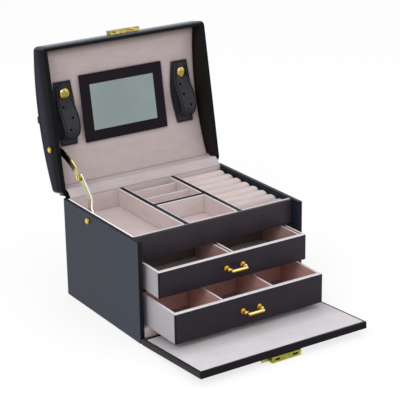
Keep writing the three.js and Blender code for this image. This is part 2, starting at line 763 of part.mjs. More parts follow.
function frontFlap() {
  const group = new THREE.Group();
  group.position.set(0, -flap.ahead, flap.axisHeight);
  group.rotation.x = -flapRest;
  const outline = [];
  for (let i = 0; i <= flap.noseSteps; i += 1) {
    const turn = -Math.PI / 2 + Math.PI * (i / flap.noseSteps);
    outline.push([flapHalf * Math.cos(turn), flapHalf * Math.sin(turn)]);
  }
  outline.push([-flap.length, flapHalf], [-flap.length, -flapHalf]);
  const pocketX = [-halfWidth + flap.border, halfWidth - flap.border];
  const pocketY = [-flap.length + flap.border, -flap.nosePad];
  const pocketFloor = flapHalf - flap.lining - gap;
  const board = cut(alongX(polygon(outline), -halfWidth, halfWidth, flap.edge), [
    slab(pocketX, pocketY, [pocketFloor, flapHalf + overrun]),
  ]);
  group.add(mesh('flap_board', board, 'leather'));
  group.add(mesh('flap_lining', slab([pocketX[0] + gap, pocketX[1] - gap], [pocketY[0] + gap, pocketY[1] - gap],
    [flapHalf - flap.lining, flapHalf]), 'flapVelvet'));
  group.add(mesh('lock_case', lockCase(), 'brass'));
  group.add(mesh('lock_button', lockPush(), 'brass'));
  return group;
}

const lockMiddleZ = (lockOuter - flapHalf - gap) / 2;
const buttonY = -(lockInner + lock.height / 2);

function lockCase() {
  const half = lock.width / 2;
  const endFace = -flap.length - gap;
  const body = slab([-half, half], [endFace, endFace + lock.height], [lockOuter, -flapHalf - gap]);
  const slotTools = mirroredSides.map((side) => slab(
    [side * lock.slotOffset - lock.slotWidth / 2, side * lock.slotOffset + lock.slotWidth / 2],
    [endFace - overrun, endFace + lock.slotDepth],
    [lockMiddleZ - lock.slotThickness / 2, lockMiddleZ + lock.slotThickness / 2],
  ));
  const bore = rodX([-half - overrun, -half + lockButton.stemLength + lockButton.travel + gap], buttonY, lockMiddleZ,
    lockButton.stem + gap, lockButton.sides);
  return cut(body, [...slotTools, bore]);
}

// The release button slides into the end of the lock case.
function lockPush() {
  const face = -lock.width / 2 - lockButton.travel - gap;
  const cap = rodX([face - lockButton.length, face], buttonY, lockMiddleZ, lockButton.radius, lockButton.sides);
  const stem = rodX([face - lockButton.length / 2, face + lockButton.stemLength], buttonY, lockMiddleZ,
    lockButton.stem, lockButton.sides);
  return join([cap, stem]);
}

// A small brass drawer pull: two posts with ball heads, and a bail that swings in them.
function postGeometry() {
  const profile = [
    [0, 0], [pull.rosette, 0], [pull.rosette, pull.rosetteThickness / 2],
    [pull.stem, pull.rosetteThickness],
  ];
  const reach = Math.asin(pull.stem / pull.ball);
  for (let i = 0; i <= pull.ballSteps; i += 1) {
    const turn = reach + (Math.PI - reach) * (i / pull.ballSteps);
    profile.push([pull.ball * Math.sin(turn), pull.pivotOut - pull.ball * Math.cos(turn)]);
  }
  profile[profile.length - 1][0] = 0;
  const post = new THREE.LatheGeometry(profile.map(([r, h]) => new THREE.Vector2(r, h)), pull.sides);
  return cut(post.rotateX(Math.PI), [
    rodX([-pull.rosette, pull.rosette], -pull.pivotOut, 0, pull.pinRadius + pull.pinClearance, pull.sides),
  ]).rotateX(0);
}

function bailGeometry() {
  const armX = pull.spread - pull.armInset;
  const bar = new THREE.CapsuleGeometry(pull.barRadius, 2 * (pull.barHalf - pull.barRadius), pull.ballSteps / 2,
    pull.sides).rotateZ(Math.PI / 2).translate(0, -pull.barOut, 0);
  const arms = mirroredSides.map((side) => rodY(side * armX, [-pull.barOut, pull.armRadius], 0,
    pull.armRadius, pull.sides));
  const pins = mirroredSides.map((side) => {
    const ends = [side * armX, side * (pull.spread + pull.ball / 2)].sort((a, b) => a - b);
    return rodX(ends, 0, 0, pull.pinRadius, pull.sides);
  });
  return join([bar, ...arms, ...pins]);
}

function drawerPull(word, faceY, middleZ) {
  const group = new THREE.Group();
  for (const side of mirroredSides) {
    const hand = side < 0 ? 'left' : 'right';
    const post = mesh(`${word}_pull_${hand}_post`, postGeometry(), 'brass');
    post.position.set(side * pull.spread, faceY - gap, middleZ);
    group.add(post);
  }
  const bail = mesh(`${word}_pull_bail`, bailGeometry(), 'brass');
  bail.position.set(0, faceY - gap - pull.pivotOut, middleZ);
  bail.rotation.x = degrees(pull.droop);
  group.add(bail);
  return group;
}

// Lays a cross board and the long boards of a drawer into each other with half-lap notches.
function halfLapped(word, longBoards, cross, low, high) {
  const group = new THREE.Group();
  const middle = (low + high) / 2;
  for (const { name, x, y, board } of longBoards) {
    const notch = slab([x[0] - overrun, x[1] + overrun], [cross.y[0] - gap, cross.y[1] + gap],
      [middle - gap / 2, high + overrun]);
    group.add(mesh(`${word}_drawer_${name}`, cut(board ?? slab(x, y, [low, high]), [notch]), 'velvet'));
  }
  const notches = longBoards.map(({ x }) => slab([x[0] - gap, x[1] + gap],
    [cross.y[0] - overrun, cross.y[1] + overrun], [low - overrun, middle + gap / 2]));
  group.add(mesh(`${word}_drawer_cross_divider`, cut(slab(cross.x, cross.y, [low, high]), notches), 'velvet'));
  return group;
}

function drawerShape(word, sizes, rightWall, makeLongBoards, extraCuts) {
  const group = new THREE.Group();
  const face = drawer.closedFront - sizes.pulledOut;
  const half = halfWidth - drawer.sideRoom;
  const height = [sizes.bottom, sizes.top];
  group.add(mesh(`${word}_drawer_front`, slab([-half, half], [face, face + drawer.frontBoard], height,
    drawer.frontEdge), 'leather'));
  const trayHalf = half - drawer.sideInset;
  const boxY = [face + drawer.frontBoard + gap, face + drawer.length];
  const inside = {
    x: [-trayHalf + drawer.wall, trayHalf - rightWall],
    y: [boxY[0] + drawer.wall, boxY[1] - drawer.wall],
    z: [sizes.bottom + drawer.floor, sizes.top + overrun],
  };
  const box = cut(slab([-trayHalf, trayHalf], boxY, height), [
    slab(inside.x, inside.y, inside.z),
    ...extraCuts(trayHalf, boxY),
  ]);
  group.add(mesh(`${word}_drawer_tray`, box, 'velvet'));
  const clear = { x: [inside.x[0] + gap, inside.x[1] - gap], y: [inside.y[0] + gap, inside.y[1] - gap] };
  const middleY = (inside.y[0] + inside.y[1]) / 2;
  const cross = { x: clear.x, y: [middleY - drawer.divider / 2, middleY + drawer.divider / 2] };
  const low = inside.z[0] + gap;
  const high = sizes.top - drawer.dividerDrop;
  group.add(halfLapped(word, makeLongBoards(clear, low, high), cross, low, high));
  group.add(drawerPull(word, face, (sizes.bottom + sizes.top) / 2));
  return group;
}

// The upper drawer: its right wall and its one long divider are double, with a channel along the top.
function makeUpperDrawer() {
  const channelAt = (low, high, y, z) => slab([(low + high - upperDrawer.channel) / 2,
    (low + high + upperDrawer.channel) / 2], y, z);
  const channelZ = [upperDrawer.top - upperDrawer.channelDepth, upperDrawer.top + overrun];
  const longBoards = (clear, low, high) => {
    const x = [-upperDrawer.channelWall / 2, upperDrawer.channelWall / 2];
    const board = cut(slab(x, clear.y, [low, high]), [
      channelAt(x[0], x[1], [clear.y[0] - overrun, clear.y[1] + overrun], channelZ),
    ]);
    return [{ name: 'long_divider', x, y: clear.y, board }];
  };
  const wallChannel = (trayHalf, boxY) => [channelAt(trayHalf - upperDrawer.channelWall, trayHalf,
    [boxY[0] + drawer.wall, boxY[1] - drawer.wall], channelZ)];
  return drawerShape('upper', upperDrawer, upperDrawer.channelWall, longBoards, wallChannel);
}

function makeLowerDrawer() {
  const longBoards = (clear) => mirroredSides.map((side) => {
    const middle = side * lowerDrawer.dividerOffset;
    const half = drawer.divider / 2;
    const name = side < 0 ? 'left_divider' : 'right_divider';
    return { name, x: [middle - half, middle + half], y: clear.y };
  });
  return drawerShape('lower', lowerDrawer, drawer.wall, longBoards, () => []);
}

const jewelryBox = new THREE.Group();
jewelryBox.position.y = -carcass.depth / 2;
jewelryBox.add(carcassBox(), topTray(), trayDividers(), ringCushion());
jewelryBox.add(lidAssembly(), lidStay(), frontFlap(), makeUpperDrawer(), makeLowerDrawer());

export default jewelryBox;
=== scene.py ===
import bpy
import bmesh
import math
import random
from mathutils import Vector, Matrix, noise


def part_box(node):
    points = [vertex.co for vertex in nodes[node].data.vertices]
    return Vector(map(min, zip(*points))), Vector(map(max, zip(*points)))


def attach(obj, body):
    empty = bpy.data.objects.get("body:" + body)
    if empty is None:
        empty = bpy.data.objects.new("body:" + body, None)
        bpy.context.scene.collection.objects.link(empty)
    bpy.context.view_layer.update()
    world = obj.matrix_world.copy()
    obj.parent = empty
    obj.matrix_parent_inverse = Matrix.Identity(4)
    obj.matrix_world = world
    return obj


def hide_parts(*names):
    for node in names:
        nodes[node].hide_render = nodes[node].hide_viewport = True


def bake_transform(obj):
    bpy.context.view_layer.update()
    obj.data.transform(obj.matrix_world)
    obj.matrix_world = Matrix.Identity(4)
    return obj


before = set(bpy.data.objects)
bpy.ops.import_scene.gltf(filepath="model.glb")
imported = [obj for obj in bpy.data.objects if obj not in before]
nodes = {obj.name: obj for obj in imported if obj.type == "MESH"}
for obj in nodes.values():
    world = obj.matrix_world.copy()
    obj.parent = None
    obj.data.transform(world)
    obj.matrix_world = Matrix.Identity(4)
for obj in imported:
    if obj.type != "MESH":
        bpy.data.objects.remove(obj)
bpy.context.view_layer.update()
scene = bpy.context.scene
print("frame loaded:", len(nodes), "nodes")

# The box in millimetres: x across, y back from the front edges of the side panels, z up.
box = {"depth": 134, "gap": 0.3}
lid = {"axisY": 135.2, "axisZ": 96.8, "open": 10.5, "middle": 70.45, "radius": 244.78125, "crown": 29.5,
       "low": 5.9, "high": 135.0, "half": 82.8, "wall": 4.4, "lining": 9.0}
sides = (("left", -1), ("right", 1))


def mm(x, y, z):
    return Vector((x, y - box["depth"] / 2, z)) / 1000


def archDepth(along, drop):
    reach = (lid["radius"] - drop) ** 2 - (along - lid["middle"]) ** 2
    return lid["crown"] - lid["radius"] + math.sqrt(reach)


def turnedLid(along, depth):
    # (y, z) of a step up along the open lid and back through it
    lean = math.radians(lid["open"])
    return (along * math.sin(lean) + depth * math.cos(lean), along * math.cos(lean) - depth * math.sin(lean))


def lidSection(along, depth):
    y, z = turnedLid(along, depth)
    return (lid["axisY"] + y, lid["axisZ"] + z)


def onLid(x, along, depth):
    return mm(x, *lidSection(along, depth))


def smoothStep(low, high, value):
    t = min(max((value - low) / (high - low), 0), 1)
    return t * t * (3 - 2 * t)


def crowded(share, weight):
    # shares from 0 to 1, drawn towards both ends
    return (0.5 - 0.5 * math.cos(math.pi * share)) * weight + share * (1 - weight)


# Colours and node helpers

def rgb(code):
    parts = [int(code[i:i + 2], 16) / 255 for i in (0, 2, 4)]
    return tuple(c / 12.92 if c <= 0.04045 else ((c + 0.055) / 1.055) ** 2.4 for c in parts) + (1,)


def newMaterial(name):
    material = bpy.data.materials.new(name)
    material.use_nodes = True
    tree = material.node_tree
    return material, tree, tree.nodes["Principled BSDF"]


def feed(node, inputs):
    # each input takes a colour code, a number, a tuple or another node's output
    for key, value in inputs.items():
        if isinstance(value, (str, float, int, tuple)):
            node.inputs[key].default_value = rgb(value) if isinstance(value, str) else value
        else:
            node.id_data.links.new(value, node.inputs[key])


def addNode(tree, kind, inputs=None, **settings):
    node = tree.nodes.new("ShaderNode" + kind)
    for key, value in settings.items():
        setattr(node, key, value)
    feed(node, inputs or {})
    return node


def objectPlace(tree, scale=(1, 1, 1)):
    source = addNode(tree, "TexCoord").outputs["Object"]
    return addNode(tree, "Mapping", {"Vector": source, "Scale": scale}).outputs["Vector"]


def noiseAt(place, scale, detail, roughness):
    inputs = {"Vector": place, "Scale": scale, "Detail": detail, "Roughness": roughness}
    return addNode(place.id_data, "TexNoise", inputs).outputs["Fac"]


def cellsAt(place, scale):
    return addNode(place.id_data, "TexVoronoi", {"Vector": place, "Scale": scale}).outputs["Distance"]


def ramp(source, stops):
    node = addNode(source.id_data, "ValToRGB", {"Fac": source})
    elements = node.color_ramp.elements
    while len(elements) < len(stops):
        elements.new(0.5)
    for element, (position, code) in zip(elements, stops):
        element.position = position
        element.color = rgb(code)
    return node.outputs["Color"]


def rangeOf(source, fromLow, fromHigh, toLow=0, toHigh=1):
    inputs = {"Value": source, "From Min": fromLow, "From Max": fromHigh, "To Min": toLow, "To Max": toHigh}
    return addNode(source.id_data, "MapRange", inputs).outputs["Result"]


def mix(share, a, b):
    return addNode(a.id_data, "Mix", {0: share, 6: a, 7: b}, data_type="RGBA").outputs[2]


def calculate(operation, a, b=0):
    return addNode(a.id_data, "Math", {0: a, 1: b}, operation=operation).outputs[0]


def times(a, b):
    return calculate("MULTIPLY", a, b)


def larger(a, b):
    return calculate("MAXIMUM", a, b)


def bumpFrom(shader, layers):
    # each layer rides on the one before it
    normal = {}
    for height, strength, distance in layers:
        inputs = {"Height": height, "Strength": strength, "Distance": distance, **normal}
        normal = {"Normal": addNode(shader.id_data, "Bump", inputs).outputs["Normal"]}
    feed(shader, normal)


def partsOf(vector):
    return tuple(addNode(vector.id_data, "SeparateXYZ", {0: vector}).outputs)


def facing(tree, axis):
    return partsOf(addNode(tree, "TexCoord").outputs["Normal"])[axis]


# how far a face is turned along an axis when it takes a finish: axis, from, to, either way
faceTurns = {"side": (0, 0.6, 0.9, True), "outside": (1, 0.3, 0.6, False), "front": (1, -0.6, -0.85, False),
             "crest": (2, 0.2, 0.6, False), "wall": (2, 0.3, 0.6, True), "level": (2, 0.5, 0.8, False),
             "top": (2, 0.7, 0.9, False)}


def turnedTo(tree, word):
    axis, low, high, eitherWay = faceTurns[word]
    share = facing(tree, axis)
    if eitherWay:
        share = calculate("ABSOLUTE", share)
    return rangeOf(share, low, high)


def distanceFrom(tree, centre, scale=(1, 1, 1)):
    place = objectPlace(tree, scale)
    return addNode(tree, "VectorMath", {0: place, 1: centre}, operation="DISTANCE").outputs["Value"]


def lidDistance(place, along, depth):
    # how far a point lies along or back through the open lid from its hinge axis, in metres
    turn = turnedLid(along, depth)
    axis = mm(0, lid["axisY"], lid["axisZ"])
    node = addNode(place.id_data, "VectorMath", {0: place, 1: (0, *turn)}, operation="DOT_PRODUCT")
    return calculate("SUBTRACT", node.outputs["Value"], axis.y * turn[0] + axis.z * turn[1])


def middleOf(name):
    low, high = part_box(name)
    return tuple((a + b) / 2 for a, b in zip(low, high))


def edgeMask(tree, radius):
    # up to 1 where the surface turns over an edge within the radius
    rounded = addNode(tree, "Bevel", {"Radius": radius}, samples=4).outputs["Normal"]
    plain = addNode(tree, "NewGeometry").outputs["Normal"]
    dot = addNode(tree, "VectorMath", {0: rounded, 1: plain}, operation="DOT_PRODUCT")
    return rangeOf(dot.outputs["Value"], 0.98, 0.78)


# Finishes. Places and distances in their values are in metres.

leatherLook = {"dark": "101218", "base": "161920", "worn": "2a2b31", "grainPerMetre": 1150, "wrinklePerMetre": 260,
               "roughness": (0.36, 0.5), "specular": 0.36, "tint": "b9d3ff", "grainDepth": 0.00012,
               "cloudsPerMetre": 34, "wornReach": 0.0009, "frontRoughness": 0.85}


def leatherFinish(name, look, **changes):
    look = {**look, **changes}
    material, tree, shader = newMaterial(name)
    place = objectPlace(tree)
    across, deep, high = partsOf(place)
    fromMiddle = calculate("ABSOLUTE", across)
    wide = noiseAt(place, look["cloudsPerMetre"], 4, 0.6)
    fine = noiseAt(place, look["wrinklePerMetre"] * 2.2, 4, 0.6)
    cells = cellsAt(place, look["grainPerMetre"])

    def clouded(dark, light):
        return ramp(wide, ((0.34, look[dark]), (0.66, look[light])))

    pores = times(rangeOf(cells, 0, 0.75), 0.35)
    color = mix(pores, clouded("dark", "base"), look["dark"])
    worn = times(edgeMask(tree, look["wornReach"]), rangeOf(fine, 0.35, 0.7, 0.25, 0.9))
    color = mix(worn, color, look["worn"])
    roughness = rangeOf(fine, 0.3, 0.7, *look["roughness"])
    if "arch" in look:
        up, back = lidDistance(place, 1, 0), lidDistance(place, 0, 1)
        # painted sheen: the lid's outside is painted a lighter blue-grey; the cover is smooth over it and glossy on
        # its far wall
        crest = times(turnedTo(tree, "crest"), rangeOf(back, *look["shineFrom"], 0.15, 1))
        crest = times(crest, rangeOf(fromMiddle, *look["shineEnds"]))
        walls = larger(rangeOf(up, *look["farWall"]), rangeOf(up, *look["nearWall"]))
        outside = larger(times(walls, turnedTo(tree, "wall")), turnedTo(tree, "outside"))
        color = mix(outside, color, clouded("archDark", "arch"))
        glossy = larger(times(crest, look["crestShine"]), times(outside, look["archShine"]))
        feed(shader, {"Coat Weight": glossy, "Coat Roughness": look["coatRoughness"]})
        # painted highlight along the rim's outer edge, hidden when the lid is shut
        lip = times(rangeOf(up, *look["lipFrom"]), rangeOf(back, *look["lipDepth"]))
        color = mix(lip, color, look["lip"])
        # painted sheen along the lid's end faces, painted shade in the folds at their corners
        ends = rangeOf(fromMiddle, *look["endsFrom"])
        side = turnedTo(tree, "side")
        color = mix(side, color, look["inside"])
        sheen = ramp(rangeOf(back, 0, look["sheenDepth"]), look["sideSheen"])
        color = mix(times(side, ends), color, sheen)
        folds = larger(rangeOf(up, *look["farFold"]), rangeOf(up, *look["nearFold"]))
        color = mix(times(folds, ends), color, look["fold"])
    if "sideGlow" in look:   # painted light: the side panels lighter towards the front
        glow = times(turnedTo(tree, "side"), rangeOf(deep, *look["glowOver"]))
        color = mix(glow, color, look["sideGlow"])
        # painted shade: dark lines along the top edge and along the bottom edge at the floor
        lines = larger(rangeOf(high, *look["topLine"]), rangeOf(high, *look["lowLine"]))
        color = mix(lines, color, look["edgeLine"])
    if "frontFace" in look:   # painted shade on the front-facing faces, by height, with a painted highlight line across the flap's edge
        front = turnedTo(tree, "front")
        height = rangeOf(high, *look["frontSpan"])
        color = mix(front, color, ramp(height, look["frontFace"]))
        roughness = larger(roughness, times(front, look["frontRoughness"]))
    if "endLine" in look:   # painted shade on the turned ends of a drawer's front
        color = mix(rangeOf(fromMiddle, *look["endLineFrom"]), color, look["endLine"])
    for centre in look.get("holes", ()):   # painted shadow inside the punched holes
        inside = rangeOf(distanceFrom(tree, centre), *look["holeEdge"], 1, 0)
        color = mix(inside, color, look["holeShade"])
    if "topFace" in look:   # bare board shows along the top edge
        color = mix(turnedTo(tree, "top"), color, look["topFace"])
    if "paleFront" in look:   # painted sheen: the tape is paler towards the front
        color = mix(rangeOf(deep, *look["paleFrom"], 1, 0), color, look["paleFront"])
    feed(shader, {"Base Color": color, "Roughness": roughness, "Specular IOR Level": look["specular"],
                  "Specular Tint": look["tint"]})
    creases = noiseAt(place, look["wrinklePerMetre"], 5, 0.65)
    bumpFrom(shader, ((creases, 0.3, 0.0002), (cells, 0.5, look["grainDepth"])))
    return material


velvetLook = {"shades": ("c5b6b5", "ccbdbc", "d3c5c5"), "sheen": 0.25, "sheenRoughness": 0.45, "specular": 0.12,
              "roughness": (0.88, 0.96), "pilePerMetre": 5200, "brushPerMetre": 60, "rimWidth": 0.0003}


def velvetFinish(name, look, **changes):
    look = {**look, **changes}
    shade, _, bright = look["shades"]
    material, tree, shader = newMaterial(name)
    place = objectPlace(tree)
    across, deep, high = partsOf(place)
    brushed = noiseAt(objectPlace(tree, (1, 1, 2.6)), look["brushPerMetre"], 4, 0.6)
    pile = noiseAt(place, look["pilePerMetre"], 2, 0.7)
    tufts = cellsAt(place, look["pilePerMetre"] * 0.45)
    color = ramp(brushed, tuple(zip((0.28, 0.52, 0.8), look["shades"])))
    color = mix(rangeOf(pile, 0.3, 0.7, 0, 0.2), color, shade)
    if "dim" in look:   # darker along one side, where less light reaches
        color = mix(rangeOf(deep, *look["dimFrom"], 1, 0), color, look["dim"])
    if "lidEnd" in look:   # painted shadow where the lining is tucked under the lid's far wall
        up = lidDistance(place, 1, 0)
        color = mix(rangeOf(up, *look["lidEndFrom"]), color, look["lidEnd"])
    if "rimAt" in look:   # painted highlight along the top edge of the boards
        edge = rangeOf(high, look["rimAt"] - look["rimWidth"], look["rimAt"])
        color = mix(edge, color, look["rim"])
    if "drawerTop" in look:   # painted light and shade in a drawer: a shaded tone on its floor and pale lit tops on its boards; its outer sides are grey
        level = turnedTo(tree, "level")
        rise = calculate("SUBTRACT", high, look["drawerTop"])
        color = mix(times(level, rangeOf(rise, *look["floorFrom"])), color, look["floor"])
        outer = rangeOf(calculate("ABSOLUTE", across), *look["sideFrom"])
        color = mix(outer, color, look["side"])
        color = mix(times(level, rangeOf(rise, *look["rimFrom"])), color, look["rim"])
    feed(shader, {"Base Color": color, "Roughness": rangeOf(brushed, 0.3, 0.7, *look["roughness"]),
                  "Specular IOR Level": look["specular"], "Sheen Weight": look["sheen"],
                  "Sheen Roughness": look["sheenRoughness"], "Sheen Tint": bright})
    bumpFrom(shader, ((brushed, 0.05, 0.0004), (tufts, 0.2, 0.00012), (pile, 0.3, 0.0001)))
    return material


brassLook = {"shades": ("a87a20", "cf9c34", "f0c860"), "roughness": (0.12, 0.22), "cloudsPerMetre": 260,
             "scratchPerMetre": 700, "edgeReach": 0.0004, "turnedShare": 0.75, "sparkReach": (0.002, 0.0006),
             "sparkShade": "fffdf2"}


def brassFinish(name, **changes):
    look = {**brassLook, **changes}
    material, tree, shader = newMaterial(name)
    cloud = noiseAt(objectPlace(tree), look["cloudsPerMetre"], 3, 0.6)
    scratch = noiseAt(objectPlace(tree, (1, 14, 14)), look["scratchPerMetre"], 2, 0.6)
    color = ramp(cloud, tuple(zip((0.3, 0.5, 0.75), look["shades"])))
    color = mix(edgeMask(tree, look["edgeReach"]), color, look["shades"][2])
    if "turned" in look:   # painted shade below and a painted highlight on top, by which way each face points
        turned = ramp(rangeOf(facing(tree, 2), -1, 1), look["turned"])
        color = mix(look["turnedShare"], color, turned)
    if "centre" in look:   # distance from the middle, or from a rivet's axis
        seen = look.get("seen", (1, 1, 1))
        centre = tuple(a * b for a, b in zip(look["centre"], seen))
        reach = rangeOf(distanceFrom(tree, centre, seen), 0, look["reach"])
    if "rings" in look:   # painted highlight, shade and reflection: colours of a round head by that distance
        color = ramp(reach, look["rings"])
    if "spark" in look:   # painted highlight: a white glint on a cap, on the side of the light
        spot = tuple(a + b for a, b in zip(look["centre"], look["spark"]))
        shine = rangeOf(distanceFrom(tree, spot), *look["sparkReach"])
        color = mix(shine, color, look["sparkShade"])
    if "flat" in look:   # painted reflection: broad faces darker or paler than the bright cut edges
        color = mix(turnedTo(tree, "side"), color, ramp(reach, look["flat"]))
    feed(shader, {"Base Color": color, "Metallic": 1,
                  "Roughness": rangeOf(scratch, 0.3, 0.7, *look["roughness"])})
    bumpFrom(shader, ((cloud, 0.06, 0.0002), (scratch, 0.1, 0.00003)))
    return material


# painted reflection: the mirror's colour is a grey-green that stands in for what it reflects
mirrorLook = {"tint": "8f9b98", "haze": "869290", "roughness": (0.03, 0.07), "hazePerMetre": 22,
              "wipesPerMetre": 900}


def mirrorFinish(name, look):
    material, tree, shader = newMaterial(name)
    place = objectPlace(tree)
    haze = noiseAt(place, look["hazePerMetre"], 3, 0.5)
    wipes = noiseAt(place, look["wipesPerMetre"], 3, 0.6)
    feed(shader, {"Base Color": ramp(haze, ((0.3, look["haze"]), (0.7, look["tint"]))), "Metallic": 1,
                  "Roughness": rangeOf(wipes, 0.3, 0.7, *look["roughness"])})
    bumpFrom(shader, ((haze, 0.02, 0.0004),))
    return material


threadLook = {"dark": "020203", "base": "070708", "twistPerMetre": 5200, "specular": 0.02, "roughness": 0.9}


def threadFinish(name, look):
    material, tree, shader = newMaterial(name)
    twist = noiseAt(objectPlace(tree), look["twistPerMetre"], 2, 0.5)
    feed(shader, {"Base Color": ramp(twist, ((0.35, look["dark"]), (0.65, look["base"]))),
                  "Roughness": look["roughness"], "Specular IOR Level": look["specular"]})
    bumpFrom(shader, ((twist, 0.5, 0.0001),))
    return material


caseLeather = leatherFinish("caseLeather", leatherLook)
# painted light on the side faces, painted shade along the top and bottom edges and on the front faces
panelLeather = leatherFinish(
    "panelLeather", leatherLook, sideGlow="1d222d", glowOver=(0.06, -0.067), edgeLine="060608",
    topLine=(0.0945, 0.0953), lowLine=(0.0016, 0.0008), frontFace=((0, "0d0805"), (1, "150d07")),
    frontSpan=(0, 0.0965))
frontLook = {**leatherLook, "dark": "1f1a1f", "base": "262127", "worn": "2f292f", "specular": 0.26, "tint": "f4e6ff"}
# painted shade on the flap's front edge, with a painted highlight line across it
flapLeather = leatherFinish(
    "flapLeather", frontLook, specular=0.16, frontSpan=(0, 0.006), frontFace=(
        (0, "111011"), (0.25, "070607"), (0.55, "060506"), (0.68, "242326"), (0.8, "0d0c0e"), (1, "141316")))
fasciaLeather = leatherFinish("fasciaLeather", frontLook, dark="282328", base="2f2a30")
# painted shade on the turned ends of the drawer fronts
drawerLeather = leatherFinish("drawerLeather", frontLook, topFace="cdcacd", endLine="050506",
                              endLineFrom=(0.0767, 0.0771))
# painted sheen on the lid's outside and end faces, painted highlight on the rim's outer edge, painted shade in the
# corner folds
lidLeather = leatherFinish(
    "lidLeather", leatherLook, dark="141416", base="19191c", worn="222228", specular=0.03, tint="dce6ff",
    arch="222936", archDark="1b212c", archShine=0.45, coatRoughness=0.22, farWall=(0.1364, 0.137),
    nearWall=(0.0045, 0.0035), crestShine=0.9, shineFrom=(0.003, 0.013), shineEnds=(0.0855, 0.083),
    lip="676a72", lipFrom=(0.1373, 0.1395), lipDepth=(0.0035, 0.002), inside="241f1c",
    endsFrom=(0.0838, 0.0845), sheenDepth=0.03,
    sideSheen=((0, "020203"), (0.25, "0b0b10"), (0.55, "262733"), (0.75, "292a36"), (0.9, "14141b"), (1, "030304")),
    fold="040405", farFold=(0.1372, 0.1392), nearFold=(0.004, 0.001))
# the punched holes get a near-black painted shadow
strapSkin = {**leatherLook, "dark": "323135", "base": "3d3c40", "worn": "626168", "grainPerMetre": 1500,
             "roughness": (0.42, 0.6), "specular": 0.07, "tint": "f2eeff", "holeEdge": (0.0012, 0.00145),
             "holeShade": "020203"}
strapLeather = leatherFinish("strapLeather", strapSkin)
frameLeather = leatherFinish("mirrorFrameLeather", leatherLook, dark="120e12", base="181318", worn="211c21",
                             grainPerMetre=1700, specular=0.1, tint="f4e6ff")
tapeLook = {**leatherLook, "dark": "070709", "base": "0c0c0e", "worn": "26282d", "grainPerMetre": 1900,
            "specular": 0.22}
# painted sheen: the left tape paler at the front, the cross tape a lighter copy of the black tape
tapeFinish = {
    "left": leatherFinish("leftTapeLeather", tapeLook, paleFront="2b3038", paleFrom=(-0.012, 0.014)),
    "cross": leatherFinish("crossTapeLeather", tapeLook, dark="1c1f24", base="24272d"),
    "right": leatherFinish("rightTapeLeather", tapeLook),
}
# painted highlight along the tops of the tray's boards
wornRim = {"rimAt": 0.0961, "rim": "f6f1f1"}
trayVelvet = velvetFinish("trayVelvet", velvetLook, **wornRim)
fasciaVelvet = velvetFinish("fasciaVelvet", {**velvetLook, **wornRim}, rim="d6cccd")
plainVelvet = velvetFinish("backVelvet", velvetLook)
floorVelvet = velvetFinish("floorVelvet", velvetLook, shades=("c2b3b2", "c8b9b8", "cfc1c0"))
# painted light: a paler copy of the tray velvet for the partitions and cross divider deep in the tray
slotVelvet = velvetFinish("slotVelvet", velvetLook, shades=("cdbfbe", "d6c8c7", "ded1d0"), **wornRim)
rollVelvet = velvetFinish("rollVelvet", velvetLook, shades=("c4b6b4", "cbbdbb", "d3c6c4"), dim="a59c9b",
                          dimFrom=(-0.049, -0.028))
# painted shade: the lid lining is a darker copy of the tray velvet, with a painted shadow under the far wall
lidVelvet = velvetFinish("lidVelvet", velvetLook, shades=("b2a4a3", "b8a9a9", "bdafaf"), lidEnd="7c6f68",
                         lidEndFrom=(0.1275, 0.134))
clothVelvet = velvetFinish("clothVelvet", velvetLook, shades=("b6aaab", "bcb0b2", "c2b6b8"))
# painted shade: the drawers' insides are darker, redder copies of the tray velvet, darkest in the upper drawer and on
# its cross divider
drawerLook = {**velvetLook, "shades": ("c2958f", "d2a49d", "dbafa8"), "sheen": 0.15, "floor": "a38b87",
              "side": "a9a5ab", "rim": "d9d6d9", "sideFrom": (0.0765, 0.0767), "floorFrom": (-0.01, -0.012),
              "rimFrom": (-0.006, -0.005), "drawerTop": 0.0419}
upperLook = {**drawerLook, "shades": ("a07f7b", "b18e8a", "bd9a96"), "floor": "cfc4c3", "side": "a5a2a8",
             "drawerTop": 0.0716}
upperVelvet = velvetFinish("upperDrawerVelvet", upperLook)
shadedVelvet = velvetFinish("shadedDrawerVelvet", upperLook, shades=("5f5553", "6a5f5d", "75696a"))
lowerVelvet = velvetFinish("lowerDrawerVelvet", drawerLook)
# painted shadow: near-black felt on the shelf and inner walls keeps the hidden inside of the case dark
darkFelt = velvetFinish("darkFelt", velvetLook, shades=("1b1717", "221d1d", "2a2424"), sheen=0.05)
rimVelvet = velvetFinish("rimVelvet", velvetLook, shades=("cfccd0", "d6d3d6", "dddadd"))
flapVelvet = velvetFinish("flapVelvet", velvetLook, shades=("cdc8cc", "d2cdd1", "d7d3d6"), dim="b7b7ba",
                          dimFrom=(-0.108, -0.132))
# painted shade below and a painted highlight on top of the pulls and rivets
brass = brassFinish("polishedBrass", turned=(
    (0, "5f3a08"), (0.25, "8f5e12"), (0.45, "c48c1c"), (0.62, "e9b62c"), (0.8, "ffe290"), (1, "fff8e4")))
catchBrass = brassFinish("catchBrass", shades=("8d7a34", "a08d44", "ded09a"), roughness=(0.16, 0.3))
lockBrass = brassFinish("lockBrass", shades=("7c7a2c", "938f3a", "bdbd6e"), roughness=(0.22, 0.36))
kneeAt = middleOf("stay_middle_rivet")
# painted reflection: the upper link's broad faces dark, pale near the knee
upperStayBrass = brassFinish("upperStayBrass", shades=("a58c2c", "bda43a", "e8d678"), centre=kneeAt, reach=0.04,
                             flat=((0, "c9cfae"), (0.2, "a9ae88"), (0.27, "2a2419"), (1, "17130f")))
